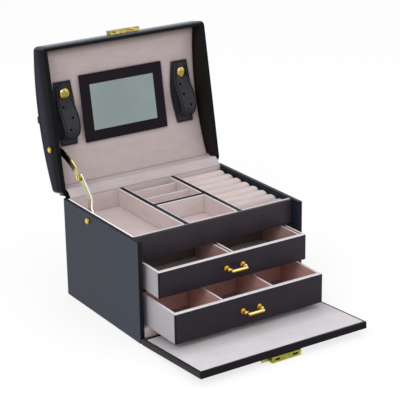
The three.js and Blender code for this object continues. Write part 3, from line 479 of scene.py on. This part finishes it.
# painted reflection: the lower link nearly white, its broad faces pale green-grey
lowerStayBrass = brassFinish(
    "lowerStayBrass", shades=("dcdcc8", "efefe0", "ffffff"), roughness=(0.2, 0.34),
    centre=middleOf("stay_body_rivet"), reach=0.05,
    flat=((0, "8f7a70"), (0.25, "a3977f"), (0.5, "b3b594"), (1, "c3c8a6")))
# painted highlight: a white ring on the knee rivet's head
kneeBrass = brassFinish("kneeBrass", centre=kneeAt, reach=0.0036, rings=(
    (0, "6e5420"), (0.35, "7a5d22"), (0.5, "f4efd8"), (0.75, "d8b860"), (1, "9a7a30")))
# painted reflection on the snap caps: olive middle, orange rim, and a painted white glint
snapBrass = {word + "_snap_cap": brassFinish(
    word + "SnapBrass", centre=middleOf(word + "_snap_cap"), reach=0.0055, roughness=(0.1, 0.18),
    spark=(-0.0034, -0.0008, 0.0034),
    rings=((0, "8d8a4a"), (0.6, "938f4a"), (0.78, "d0a83c"), (0.9, "c48a28"), (1, "8a5c14")))
    for word, _ in sides}
# painted highlight: bright middles fading to dark edges on the stay rivets
rivetBrass = {"stay_" + word + "_rivet": brassFinish(
    word + "RivetBrass", centre=middleOf("stay_" + word + "_rivet"), seen=(0, 1, 1), reach=0.0034,
    roughness=(0.1, 0.2), rings=((0, "fff8dc"), (0.35, "f2dc84"), (0.65, "c6a02c"), (1, "7a5614")))
    for word in ("lid", "body")}
mirrorGlass = mirrorFinish("silveredGlass", mirrorLook)
blackThread = threadFinish("blackThread", threadLook)
seamThread = threadFinish("seamThread", {**threadLook, "dark": "7a5c48", "base": "94735c"})
print("finishes made")

# Every CAD node that stays gets its finish and smooth round faces

finishByNode = {
    **snapBrass, **rivetBrass, "mirror_frame": frameLeather, "mirror_glass": mirrorGlass,
    "carry_handle": strapLeather, "left_side_panel": panelLeather, "right_side_panel": panelLeather,
    "stay_upper_link": upperStayBrass, "stay_lower_link": lowerStayBrass, "stay_middle_rivet": kneeBrass,
    "upper_catch": catchBrass, "lock_case": lockBrass, "lock_button": lockBrass, "lid_shell": lidLeather,
    "tray_fascia": fasciaLeather, "front_tray_lining": fasciaVelvet, "back_tray_lining": plainVelvet,
    "flap_board": flapLeather, "flap_lining": flapVelvet, "flap_hinge_strip": plainVelvet,
    "base_riser": plainVelvet, "drawer_shelf": darkFelt, "upper_drawer_cross_divider": shadedVelvet,
    "tray_floor_lining": floorVelvet, "tray_floor": caseLeather, "cross_divider": slotVelvet,
    "front_slot_partition": slotVelvet, "rear_slot_partition": slotVelvet,
}
finishByWord = {   # the first word found in a name counts, the empty one for all others
    "drawer_front": drawerLeather, "strap": strapLeather, "panel": caseLeather, "hinge_strip": caseLeather,
    "rivet": brass, "pull_": brass, "inner_wall": darkFelt, "upper_drawer": upperVelvet,
    "lower_drawer": lowerVelvet, "": trayVelvet,
}

for name, node in nodes.items():
    byWord = next(finish for word, finish in finishByWord.items() if word in name)
    node.data.materials.clear()
    node.data.materials.append(finishByNode.get(name, byWord))
    node.data.polygons.foreach_set("use_smooth", [True] * len(node.data.polygons))
    node.data.set_sharp_from_angle(angle=math.radians(32))


# Mesh helpers

def newMesh(name, points, faces):
    mesh = bpy.data.meshes.new(name)
    mesh.from_pydata([tuple(p) for p in points], [], faces)
    builder = bmesh.new()
    builder.from_mesh(mesh)
    bmesh.ops.recalc_face_normals(builder, faces=builder.faces)
    builder.to_mesh(mesh)
    builder.free()
    return mesh


def newObject(name, data):
    made = bpy.data.objects.new(name, data)
    scene.collection.objects.link(made)
    return made


def meshPiece(name, points, faces, finish, body, sharpAngle):
    mesh = newMesh(name, points, faces)
    mesh.polygons.foreach_set("use_smooth", [True] * len(mesh.polygons))
    mesh.set_sharp_from_angle(angle=math.radians(sharpAngle))
    mesh.materials.append(finish)
    piece = newObject(name, mesh)
    if body:
        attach(piece, body)
    return piece


def closedSheet(top, bottom, across, along):
    # two grids of (along + 1) rows and (across + 1) columns become one closed body
    row = across + 1
    count = len(top)
    faces = []
    for j in range(along):
        for i in range(across):
            a = j * row + i
            faces.append((a, a + 1, a + row + 1, a + row))
            faces.append((count + a, count + a + row, count + a + row + 1, count + a + 1))
    rim = list(range(row))
    rim += [j * row + across for j in range(1, along + 1)]
    rim += [along * row + i for i in range(across - 1, -1, -1)]
    rim += [j * row for j in range(along - 1, 0, -1)]
    for k, a in enumerate(rim):
        b = rim[(k + 1) % len(rim)]
        faces.append((a, count + a, count + b, b))
    return top + bottom, faces


def tubeFaces(start, rings, around, capped=True):
    # faces of a tube whose rings follow each other in the list of points
    faces = []
    for ring in range(rings - 1):
        low = start + ring * around
        for k in range(around):
            a, b = low + k, low + (k + 1) % around
            faces.append((a, b, b + around, a + around))
    if capped:
        last = start + (rings - 1) * around
        faces += [tuple(range(start, start + around)), tuple(range(last + around - 1, last - 1, -1))]
    return faces


def curvePoint(a, b, c, d, t):
    # between b and c on a smooth curve through all four
    return 0.5 * (2 * b + (c - a) * t + (2 * a - 5 * b + 4 * c - d) * t * t + (3 * b - a - 3 * c + d) * t ** 3)


def catmullRom(points, steps):
    line = []
    for i in range(len(points) - 1):
        knots = (points[max(i - 1, 0)], points[i], points[i + 1], points[min(i + 2, len(points) - 1)])
        for k in range(steps):
            line.append(tuple(curvePoint(*values, k / steps) for values in zip(*knots)))
    line.append(tuple(points[-1]))
    return line


def evenly(line, count):
    lengths = [0.0]
    for a, b in zip(line, line[1:]):
        lengths.append(lengths[-1] + math.dist(a, b))
    result = []
    j = 0
    for i in range(count + 1):
        goal = lengths[-1] * i / count
        while j < len(lengths) - 2 and lengths[j + 1] < goal:
            j += 1
        share = (goal - lengths[j]) / max(lengths[j + 1] - lengths[j], 1e-9)
        result.append(tuple(a + (b - a) * share for a, b in zip(line[j], line[j + 1])))
    return result


def lineLength(line):
    return sum(math.dist(a, b) for a, b in zip(line, line[1:]))


def acrossLine(line, j):
    # square to a line of two-number points, at its point j
    before, after = line[max(j - 1, 0)], line[min(j + 1, len(line) - 1)]
    run = Vector((after[0] - before[0], after[1] - before[1])).normalized()
    return Vector((-run[1], run[0]))


# share of the length, width and lift of each ring of a stitch
stitchRings = ((-0.5, 0.15, -0.6), (-0.42, 0.7, -0.1), (-0.2, 1, 0.25), (0.2, 1, 0.25), (0.42, 0.7, -0.1),
               (0.5, 0.15, -0.6))
stitchAround = 6


def rowOfStitches(name, line, normals, look, finish, body):
    # short round stitches along a line in metres, each lying square to its normal
    even = evenly(line, max(2, int(lineLength(line) / look["pitch"])))
    points, faces = [], []
    for a, b in zip(map(Vector, even), map(Vector, even[1:])):
        nearest = min(range(len(line)), key=lambda k: (Vector(line[k]) - a).length)
        normal = normals[nearest].normalized()
        run = (b - a).normalized()
        side = normal.cross(run).normalized()
        faces += tubeFaces(len(points), len(stitchRings), stitchAround)
        for share, width, lift in stitchRings:
            centre = (a + b) / 2 + run * (share * look["length"]) + normal * (lift * look["radius"])
            for k in range(stitchAround):
                turn = 2 * math.pi * k / stitchAround
                points.append(centre + (side * math.cos(turn) + normal * math.sin(turn)) * look["radius"] * width)
    return meshPiece(name, points, faces, finish, body, 80)


# Ring cushion: eight padded rolls, blown up as cloth and pressed against each other

ringRolls = {"rolls": 8, "left": 31.0, "right": 82.6, "front": 14.9, "back": 127.6, "low": 79.1, "crest": 94.6,
             "shrink": 0.5, "around": 24, "along": 26, "simScale": 20, "frames": 20, "cap": 1.1, "seed": 7,
             "squareness": 0.82, "endReach": 3.2, "endDrop": 0.38, "endInset": 0.55, "overCrest": 0.5, "touch": 0.06,
             "cloth": {"quality": 5, "use_pressure": True, "uniform_pressure_force": 4.0, "tension_stiffness": 12,
                       "compression_stiffness": 12, "bending_stiffness": 0.4}}


def rollPoints(look, index):
    pitch = (look["back"] - look["front"]) / look["rolls"]
    middle = look["front"] + pitch * (index + 0.5)
    halfWide = pitch / 2 - look["shrink"]
    halfHigh = (look["crest"] - look["low"]) / 2 - look["shrink"]
    centre = (look["crest"] + look["low"]) / 2
    long = look["right"] - look["left"]
    around, along = look["around"], look["along"]
    points = []
    random.seed(look["seed"] + index)
    phase = random.uniform(0, 6)
    for j in range(along + 1):
        share = j / along
        x = look["left"] + look["shrink"] + (long - 2 * look["shrink"]) * share
        fromEnd = min(share, 1 - share) * long
        ends = 1 - (1 - min(fromEnd / look["endReach"], 1)) ** 2 * look["endDrop"]
        wobble = 0.12 * math.sin(5 * share + phase) + 0.1 * math.sin(13 * share + 2 * phase)
        for k in range(around):
            turn = 2 * math.pi * k / around
            c, s = math.cos(turn), math.sin(turn)
            y = middle + halfWide * ends * math.copysign(abs(c) ** look["squareness"], c)
            z = centre + halfHigh * ends * math.copysign(abs(s) ** look["squareness"], s)
            points.append((x, y, z + wobble * (0.5 + 0.5 * s)))
    faces = tubeFaces(0, along + 1, around, capped=False)
    for start, outward in ((0, -1), (along * around, 1)):   # a rounded cap on each end
        ring = points[start:start + around]
        hub = len(points)
        x = sum(point[0] for point in ring) / around
        points.append((x + outward * 0.1, middle, centre))
        points += [(x + outward * 0.05, middle + (y - middle) * look["endInset"],
                    centre + (z - centre) * look["endInset"]) for _, y, z in ring]
        for k in range(around):
            after = (k + 1) % around
            a, b, c, d = start + k, start + after, hub + 1 + after, hub + 1 + k
            faces += [(a, b, c, d), (c, hub, d)]
    return points, faces, middle


def puffUp(points, faces, look):
    # cloth under pressure at a larger scale, brought back and held to a small move
    mesh = newMesh("puffing", [tuple(v * look["simScale"] / 1000 for v in p) for p in points], faces)
    puffing = newObject("puffing", mesh)
    cloth = puffing.modifiers.new("cloth", "CLOTH")
    cloth.settings.effector_weights.gravity = 0
    for setting, value in look["cloth"].items():
        setattr(cloth.settings, setting, value)
    cloth.point_cache.frame_start = 1
    cloth.point_cache.frame_end = look["frames"]
    for step in range(1, look["frames"] + 1):
        scene.frame_set(step)
    evaluated = puffing.evaluated_get(bpy.context.evaluated_depsgraph_get())
    moved = [v.co * 1000 / look["simScale"] for v in evaluated.data.vertices]
    bpy.data.objects.remove(puffing)
    bpy.data.meshes.remove(mesh)
    scene.frame_set(1)
    result = []
    for start, end in zip(points, moved):
        step = Vector(end) - Vector(start)
        if step.length > look["cap"]:
            step = step.normalized() * look["cap"]
        result.append(Vector(start) + step)
    return result


def makeRingRolls(look):
    allPoints, allFaces, owners = [], [], []
    for index in range(look["rolls"]):
        points, faces, middle = rollPoints(look, index)
        offset = len(allPoints)
        allPoints += points
        owners += [middle] * len(points)
        allFaces += [tuple(i + offset for i in face) for face in faces]
    puffed = puffUp(allPoints, allFaces, look)
    half = (look["back"] - look["front"]) / look["rolls"] / 2 - look["touch"]
    final = []
    for point, middle in zip(puffed, owners):
        x = min(max(point.x, look["left"]), look["right"])
        y = min(max(point.y, middle - half), middle + half)
        z = min(max(point.z, look["low"]), look["crest"] + look["overCrest"])
        final.append(mm(x, y, z))
    rolls = meshPiece("ringRolls", final, allFaces, rollVelvet, None, 180)
    soft = rolls.modifiers.new("soft", "SUBSURF")
    soft.levels = soft.render_levels = 1
    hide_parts("ring_cushion")
    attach(rolls, "carcass")


makeRingRolls(ringRolls)
print("ring rolls made")

# Lid lining: a thin padded panel on the arch, drawn in at its edges and under what it carries

liningPad = {"crown": 0.85, "crownFree": 9, "crownEdge": 16, "edge": 3.4, "edgeDrop": 2.6, "across": 92, "along": 74,
             "crowding": 0.35, "ripple": 0.12, "rippleFree": 8, "pucker": 0.16, "puckerEdge": 9,
             "puckerFrom": (60, 84), "mirror": (-46.4, 43.2, 42.6, 106.6),
             "pads": ((-76.1, -52.3, 43.4, 104.2), (52.3, 76.1, 43.4, 104.2))}


def distanceOutside(x, along, area):
    left, right, low, high = area
    return math.hypot(max(left - x, x - right, 0), max(low - along, along - high, 0))


def liningDrop(x, along, look):
    fromEdge = min(lid["half"] - abs(x), along - lid["low"], lid["high"] - along)
    turned = max(0, 1 - fromEdge / look["edge"])
    rolled = look["edgeDrop"] * (1 - math.sqrt(max(0, 1 - turned ** 2)))
    free = min(distanceOutside(x, along, area) for area in (look["mirror"],) + look["pads"])
    crown = look["crown"] * smoothStep(0, look["crownFree"], free) * smoothStep(0, look["crownEdge"], fromEdge)
    ripple = look["ripple"] * noise.noise(Vector((x * 0.05, along * 0.07, 3.1)))
    ripple *= smoothStep(0, look["rippleFree"], free)
    pucker = look["pucker"] * math.sin(x * 0.9) * smoothStep(look["puckerEdge"], 1, fromEdge)
    pucker *= smoothStep(*look["puckerFrom"], abs(x))
    return lid["lining"] + crown + ripple + pucker - rolled


def makeLiningPad(look):
    top, bottom = [], []
    for j in range(look["along"] + 1):
        along = lid["low"] + (lid["high"] - lid["low"]) * crowded(j / look["along"], look["crowding"])
        for i in range(look["across"] + 1):
            x = -lid["half"] + 2 * lid["half"] * crowded(i / look["across"], look["crowding"])
            top.append(onLid(x, along, archDepth(along, liningDrop(x, along, look))))
            bottom.append(onLid(x, along, archDepth(along, lid["wall"] + box["gap"])))
    points, faces = closedSheet(top, bottom, look["across"], look["along"])
    pad = meshPiece("lidLiningPad", points, faces, lidVelvet, None, 60)
    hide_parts("lid_lining")
    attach(pad, "lid")


makeLiningPad(liningPad)
print("lid lining made")

# Cloth over the lid hinge: sewn to the lid lining, down over the back rim and behind the tray

hingeCloth = {
    "seamAt": 8.6, "thickness": 0.5, "across": 46, "alongSteps": 40, "half": 82.6, "wave": 0.18,
    "onLining": ((0, 0.55), (-1.6, 0.75)),   # along from the seam, and under the lining's face
    "inLid": ((6.5, 8.8), (6.15, 5.5), (6.35, 2.2)),   # along and back in the lid
    "overRim": [(135.9, 103.2), (133.7, 102.2), (131.8, 100.9), (130.2, 99.3), (129.0, 98.0), (128.35, 97.1),
                (128.17, 96.5)],   # y and z, down to the tuck inside the tray
}


def bentSheet(line, look):
    # a sheet of even thickness along (y, z) points, from side to side
    top, bottom = [], []
    for j, (y, z) in enumerate(line):
        side = acrossLine(line, j)
        free = look["wave"] * math.sin(math.pi * j / (len(line) - 1))
        for i in range(look["across"] + 1):
            x = -look["half"] + 2 * look["half"] * i / look["across"]
            middle = Vector((y, z)) + side * free * noise.noise(Vector((x * 0.06, j * 0.12, 9.7)))
            top.append(mm(x, *(middle + side * look["thickness"] / 2)))
            bottom.append(mm(x, *(middle - side * look["thickness"] / 2)))
    return closedSheet(top, bottom, look["across"], len(line) - 1)


def makeHingeCloth(look):
    knots = []
    for step, drop in look["onLining"]:
        along = look["seamAt"] + step
        knots.append(lidSection(along, archDepth(along, lid["lining"] + drop)))
    knots += [lidSection(along, depth) for along, depth in look["inLid"]]
    curve = catmullRom(knots + look["overRim"], 8)
    points, faces = bentSheet(evenly(curve, look["alongSteps"]), look)
    cloth = meshPiece("hingeClothStrip", points, faces, clothVelvet, None, 70)
    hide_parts("lid_hinge_cloth")
    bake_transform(cloth)


makeHingeCloth(hingeCloth)
seamRow = {"at": hingeCloth["seamAt"] - 0.5, "half": 81.8, "steps": 60, "lift": 0.98, "pitch": 0.0026,
           "length": 0.0021, "radius": 0.00028}
offLining = Vector((0, *turnedLid(0, -1)))   # square off the open lid's lining


def makeSeamRow(look):
    depth = archDepth(look["at"], lid["lining"] + look["lift"])
    line = [onLid(-look["half"] + 2 * look["half"] * i / look["steps"], look["at"], depth)
            for i in range(look["steps"] + 1)]
    rowOfStitches("hingeSeamStitches", line, [offLining] * len(line), look, seamThread, "lid")


makeSeamRow(seamRow)
print("hinge cloth made")

# Leather hinge skin at the back, from the box over the axis to the underside of the open lid

hingeSkin = {"half": 84.8, "thickness": 0.5, "away": 0.62, "off": 0.02, "boxReach": 9, "lidReach": 12, "across": 12,
             "wave": 0, "boxShares": (1, 0.75, 0.5, 0.25, 0.1), "turns": (0, 25, 50, 75, 100),
             "lidDepths": (0.6, 2, 5, 8)}


def makeHingeSkin(look):
    away = look["away"]
    line = [(lid["axisY"] - away + look["off"], lid["axisZ"] - share * look["boxReach"])
            for share in look["boxShares"]]
    for degrees in look["turns"]:
        turn = math.radians(degrees)
        line.append((lid["axisY"] - away * math.cos(turn), lid["axisZ"] + away * math.sin(turn)))
    line += [lidSection(away, depth) for depth in (*look["lidDepths"], look["lidReach"])]
    points, faces = bentSheet(line, look)
    skin = meshPiece("hingeSkin", points, faces, caseLeather, None, 50)
    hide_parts("lid_hinge_strip")
    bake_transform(skin)


makeHingeSkin(hingeSkin)
print("hinge skin made")

# Low strips of the drawers and dividers

stripLook = {"thickness": 0.32, "foot": 0.02, "around": 8, "wobble": 0}


def lowStrip(name, axis, low, high, middle, top, look, finish, body):
    # a low strip along "x" or "y" with a rounded top
    profile = []
    for k in range(look["around"] + 1):
        turn = math.pi * k / look["around"]
        profile.append((middle - look["width"] / 2 * math.cos(turn),
                        top + look["foot"] + look["thickness"] * math.sin(turn) ** look["roundness"]))
    points = []
    for j in range(look["steps"] + 1):
        at = low + (high - low) * j / look["steps"]
        for a, z in profile:
            a += look["wobble"] * noise.noise(Vector((a * 0.2, at * 0.11, 2.2)))
            points.append(mm(a, at, z) if axis == "y" else mm(at, a, z))
    faces = tubeFaces(0, look["steps"] + 1, len(profile))
    meshPiece(name, points, faces, finish, body, 50)


# Black tape on the tops of the three tray dividers, a little off their pale edges
dividerTape = {**stripLook, "width": 4.5, "roundness": 0.6, "steps": 30, "wobble": 0.05, "shift": 0.05, "top": 96.3,
               "runs": {"left": ("y", 12.7, 127.5, -29.2), "right": ("y", 12.7, 127.5, 27.5),
                        "cross": ("x", -26.9, 25.2, 70.2)}}
for word, (axis, low, high, middle) in dividerTape["runs"].items():
    lowStrip(word + "DividerTape", axis, low, high, middle + dividerTape["shift"], dividerTape["top"], dividerTape,
             tapeFinish[word], "carcass")
print("divider tapes made")

# Pale turned edge over the top of each drawer's front and the board behind it
drawerRim = {**stripLook, "half": 78.1, "width": 3.75, "roundness": 0.5, "steps": 40,
             "places": {"upper": (71.6, -16.07), "lower": (41.9, -41.27)}}
for word, (top, middle) in drawerRim["places"].items():
    lowStrip(word + "DrawerRim", "x", -drawerRim["half"], drawerRim["half"], middle, top, drawerRim, rimVelvet,
             word + "_drawer")
print("drawer rims made")

# Snap straps: barrel-sided leather bands, bowed off their pads, with turned edges and punched holes

snapStrap = {"spread": 64.2, "low": 50.3, "high": 102.2, "thickness": 1.5, "lift": 10.6, "fold": 15.2, "middle": 18.8,
             "tip": 15.0, "padDrop": 10.9, "along": 150, "across": 44, "crowding": 0.45, "edgeRound": 0.55,
             "edgeDrop": 0.75, "crown": 0.18, "sink": 0.1, "channelIn": 1.7, "channelDeep": 0.3, "channelWide": 0.35,
             "holeRadius": 1.3, "holeDeep": 1.25, "holeFloor": 0.55, "seamMargin": 0.6,
             "holes": {"left": ((-3.8, 80.0), (2.0, 69.5), (-2.3, 59.3)),
                       "right": ((-3.2, 81.0), (-3.2, 71.4), (2.2, 60.6))},
             # share of the length, and share of the lift there
             "bow": ((0, 0.035), (0.02, 0.36), (0.07, 0.76), (0.14, 0.97), (0.225, 1), (0.32, 0.92), (0.42, 0.74),
                     (0.515, 0.5), (0.61, 0.27), (0.7, 0.09), (0.78, 0.03), (1, 0.03))}
strapStitch = {"pitch": 0.0026, "length": 0.0018, "radius": 0.00042}


def strapHalf(along, look):
    tipStart = look["high"] - look["tip"] / 2
    if along > tipStart:
        return math.sqrt(max((look["tip"] / 2) ** 2 - (along - tipStart) ** 2, 0))
    low = look["low"] - 2
    middle = (look["low"] + tipStart) / 2
    a, b, c = look["fold"] / 2, look["middle"] / 2, look["tip"] / 2
    if along < middle:
        return curvePoint(a, a, b, c, (along - low) / (middle - low))
    return curvePoint(a, b, c, c, (along - middle) / (tipStart - middle))


def strapPath(look):
    knots = []
    for share, lift in look["bow"]:
        along = look["low"] + (look["high"] - look["low"]) * share
        depth = archDepth(along, look["padDrop"]) - box["gap"] - look["thickness"] / 2 - look["lift"] * lift
        knots.append((along, depth))
    return evenly(catmullRom(knots, 14), look["along"])


def makeStrap(word, side, look):
    path = strapPath(look)
    across = look["across"]
    holes = look["holes"][word]

    def overBand(j, x, height):
        # x from the band's middle line, and height off it towards the inside of the lid
        along, depth = Vector(path[j]) - acrossLine(path, j) * height
        return onLid(side * look["spread"] + x, along, depth)

    top, bottom, normals = [], [], []
    seams = {"Left": [], "Right": []}
    for j, (along, depth) in enumerate(path):
        half = max(strapHalf(min(along, look["high"] - 0.02), look), 0.05)
        for i in range(across + 1):
            u = 2 * crowded(i / across, look["crowding"]) - 1
            x = u * half
            fromEdge = half - abs(x)
            rounded = 1 - (1 - min(fromEdge / look["edgeRound"], 1)) ** 2 * look["edgeDrop"]
            height = look["thickness"] / 2 * rounded
            channel = math.exp(-((fromEdge - look["channelIn"]) / look["channelWide"]) ** 2) * look["channelDeep"]
            upper = height - channel + look["crown"] * (1 - u * u) - look["sink"]
            for holeX, holeAlong in holes:
                distance = math.hypot(x - holeX, along - holeAlong)
                edge = smoothStep(look["holeRadius"] * look["holeFloor"], look["holeRadius"], distance)
                upper -= look["holeDeep"] * (1 - edge)
            top.append(overBand(j, x, upper))
            bottom.append(overBand(j, x, -height))
        if 3 < j < len(path) - 2 and half > look["channelIn"] + look["seamMargin"]:
            for edge, way in (("Left", -1), ("Right", 1)):
                inset = way * (half - look["channelIn"])
                seams[edge].append(overBand(j, inset, look["thickness"] / 2 - 0.02))
            normals.append(Vector((0, *turnedLid(*-acrossLine(path, j)))))
    bores = []
    for holeX, holeAlong in holes:
        j = min(range(len(path)), key=lambda k: abs(path[k][0] - holeAlong))
        bores.append(tuple(overBand(j, holeX, (look["thickness"] - look["holeDeep"]) / 2)))
    points, faces = closedSheet(top, bottom, across, len(path) - 1)
    finish = leatherFinish(word + "BandLeather", strapSkin, holes=bores)
    strap = meshPiece(word + "StrapBand", points, faces, finish, None, 60)
    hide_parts(word + "_snap_strap")
    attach(strap, word + "_strap")
    for edge, line in seams.items():
        rowOfStitches(word + "Strap" + edge + "Stitches", line, normals, strapStitch, blackThread, word + "_strap")


for word, side in sides:
    makeStrap(word, side, snapStrap)
print("straps made")

# Stitches round the strap pads, a short way in from their edges

padStitch = {"pitch": 0.0026, "length": 0.0019, "radius": 0.0004, "inset": 1.3, "end": 17.2, "middle": 23.4,
             "low": 43.6, "high": 104.0, "drop": 10.95, "steps": 60}


def makePadStitches(word, side, look):
    line = []
    low, high = look["low"] + look["inset"], look["high"] - look["inset"]
    for way in (1, -1):
        for k in range(look["steps"] + 1)[::way]:
            share = k / look["steps"]
            along = low + (high - low) * share
            bulge = 1 - (2 * share - 1) ** 2
            half = look["end"] / 2 + (look["middle"] - look["end"]) / 2 * bulge - look["inset"]
            line.append(onLid(side * snapStrap["spread"] + way * half, along, archDepth(along, look["drop"])))
    line.append(line[0])
    rowOfStitches(word + "PadStitches", line, [offLining] * len(line), look, blackThread, "lid")


for word, side in sides:
    makePadStitches(word, side, padStitch)
print("pad stitches made")

# Floor, light and camera

studio = {"floorHalf": 3.0, "floorAt": -0.0004, "floorShade": (0.95, 0.95, 0.95, 1), "floorRoughness": 0.9,
          "floorSpecular": 0.1, "whiteShare": 0.77, "worldLevel": 0.84, "aim": (0, 0, 0.08),
          # place, watts, size and colour
          "lamps": {"keyLamp": ((-1.1, -0.7, 1.1), 7.6, 0.7, (0.96, 0.98, 1)),
                    "fillLamp": ((1, -1.1, 0.7), 2.2, 0.9, (1, 1, 1)),
                    "topLamp": ((0.1, 0.2, 1.5), 3.4, 1, (1, 1, 1))}}


def whiteRays(tree):
    rays = addNode(tree, "LightPath").outputs
    return larger(larger(rays["Is Camera Ray"], rays["Is Glossy Ray"]), rays["Is Transmission Ray"])


def makeFloor(look):
    half, level = look["floorHalf"], look["floorAt"]
    corners = [(x * half, y * half, level) for x, y in ((-1, -1), (1, -1), (1, 1), (-1, 1))]
    mesh = newMesh("studioFloor", corners, [(0, 1, 2, 3)])
    floor = newObject("studioFloor", mesh)
    material, tree, shader = newMaterial("paleFloor")
    feed(shader, {"Base Color": look["floorShade"], "Roughness": look["floorRoughness"],
                  "Specular IOR Level": look["floorSpecular"]})
    white = addNode(tree, "Emission", {"Color": "ffffff", "Strength": 1})
    share = times(whiteRays(tree), look["whiteShare"])
    both = addNode(tree, "MixShader", {0: share, 1: shader.outputs[0], 2: white.outputs[0]})
    feed(tree.nodes["Material Output"], {"Surface": both.outputs[0]})
    mesh.materials.append(material)


def makeWorld(look):
    world = bpy.data.worlds.new("studioAir")
    scene.world = world
    world.use_nodes = True
    tree = world.node_tree
    strength = rangeOf(whiteRays(tree), 0, 1, look["worldLevel"], 1)
    feed(tree.nodes["Background"], {"Color": "ffffff", "Strength": strength})


def makeLamps(look):
    for name, (place, watts, size, color) in look["lamps"].items():
        light = bpy.data.lights.new(name, "AREA")
        light.energy = watts
        light.size = size
        light.color = color
        lamp = newObject(name, light)
        lamp.location = place
        lamp.rotation_euler = (Vector(look["aim"]) - Vector(place)).to_track_quat("-Z", "Y").to_euler()


photoView = {"lens": 133.7, "shiftX": 0.04585, "shiftY": 0.003, "clipStart": 0.05,
             "place": (-0.67898, -1.08425, 0.56658), "right": (0.8438, -0.53633, -0.01888),
             "up": (0.20056, 0.28251, 0.93806), "ahead": (0.49778, 0.79532, -0.34595)}


def makeCamera(look):
    camera = bpy.data.cameras.new("photoCamera")
    camera.lens = look["lens"]
    camera.shift_x = look["shiftX"]
    camera.shift_y = look["shiftY"]
    camera.clip_start = look["clipStart"]
    holder = newObject("photoCamera", camera)
    turn = Matrix((look["right"], look["up"], -Vector(look["ahead"]))).transposed().to_4x4()
    holder.matrix_world = Matrix.Translation(look["place"]) @ turn
    scene.camera = holder


makeFloor(studio)
makeWorld(studio)
makeLamps(studio)
makeCamera(photoView)
scene.view_settings.view_transform = "Standard"
print("studio made")
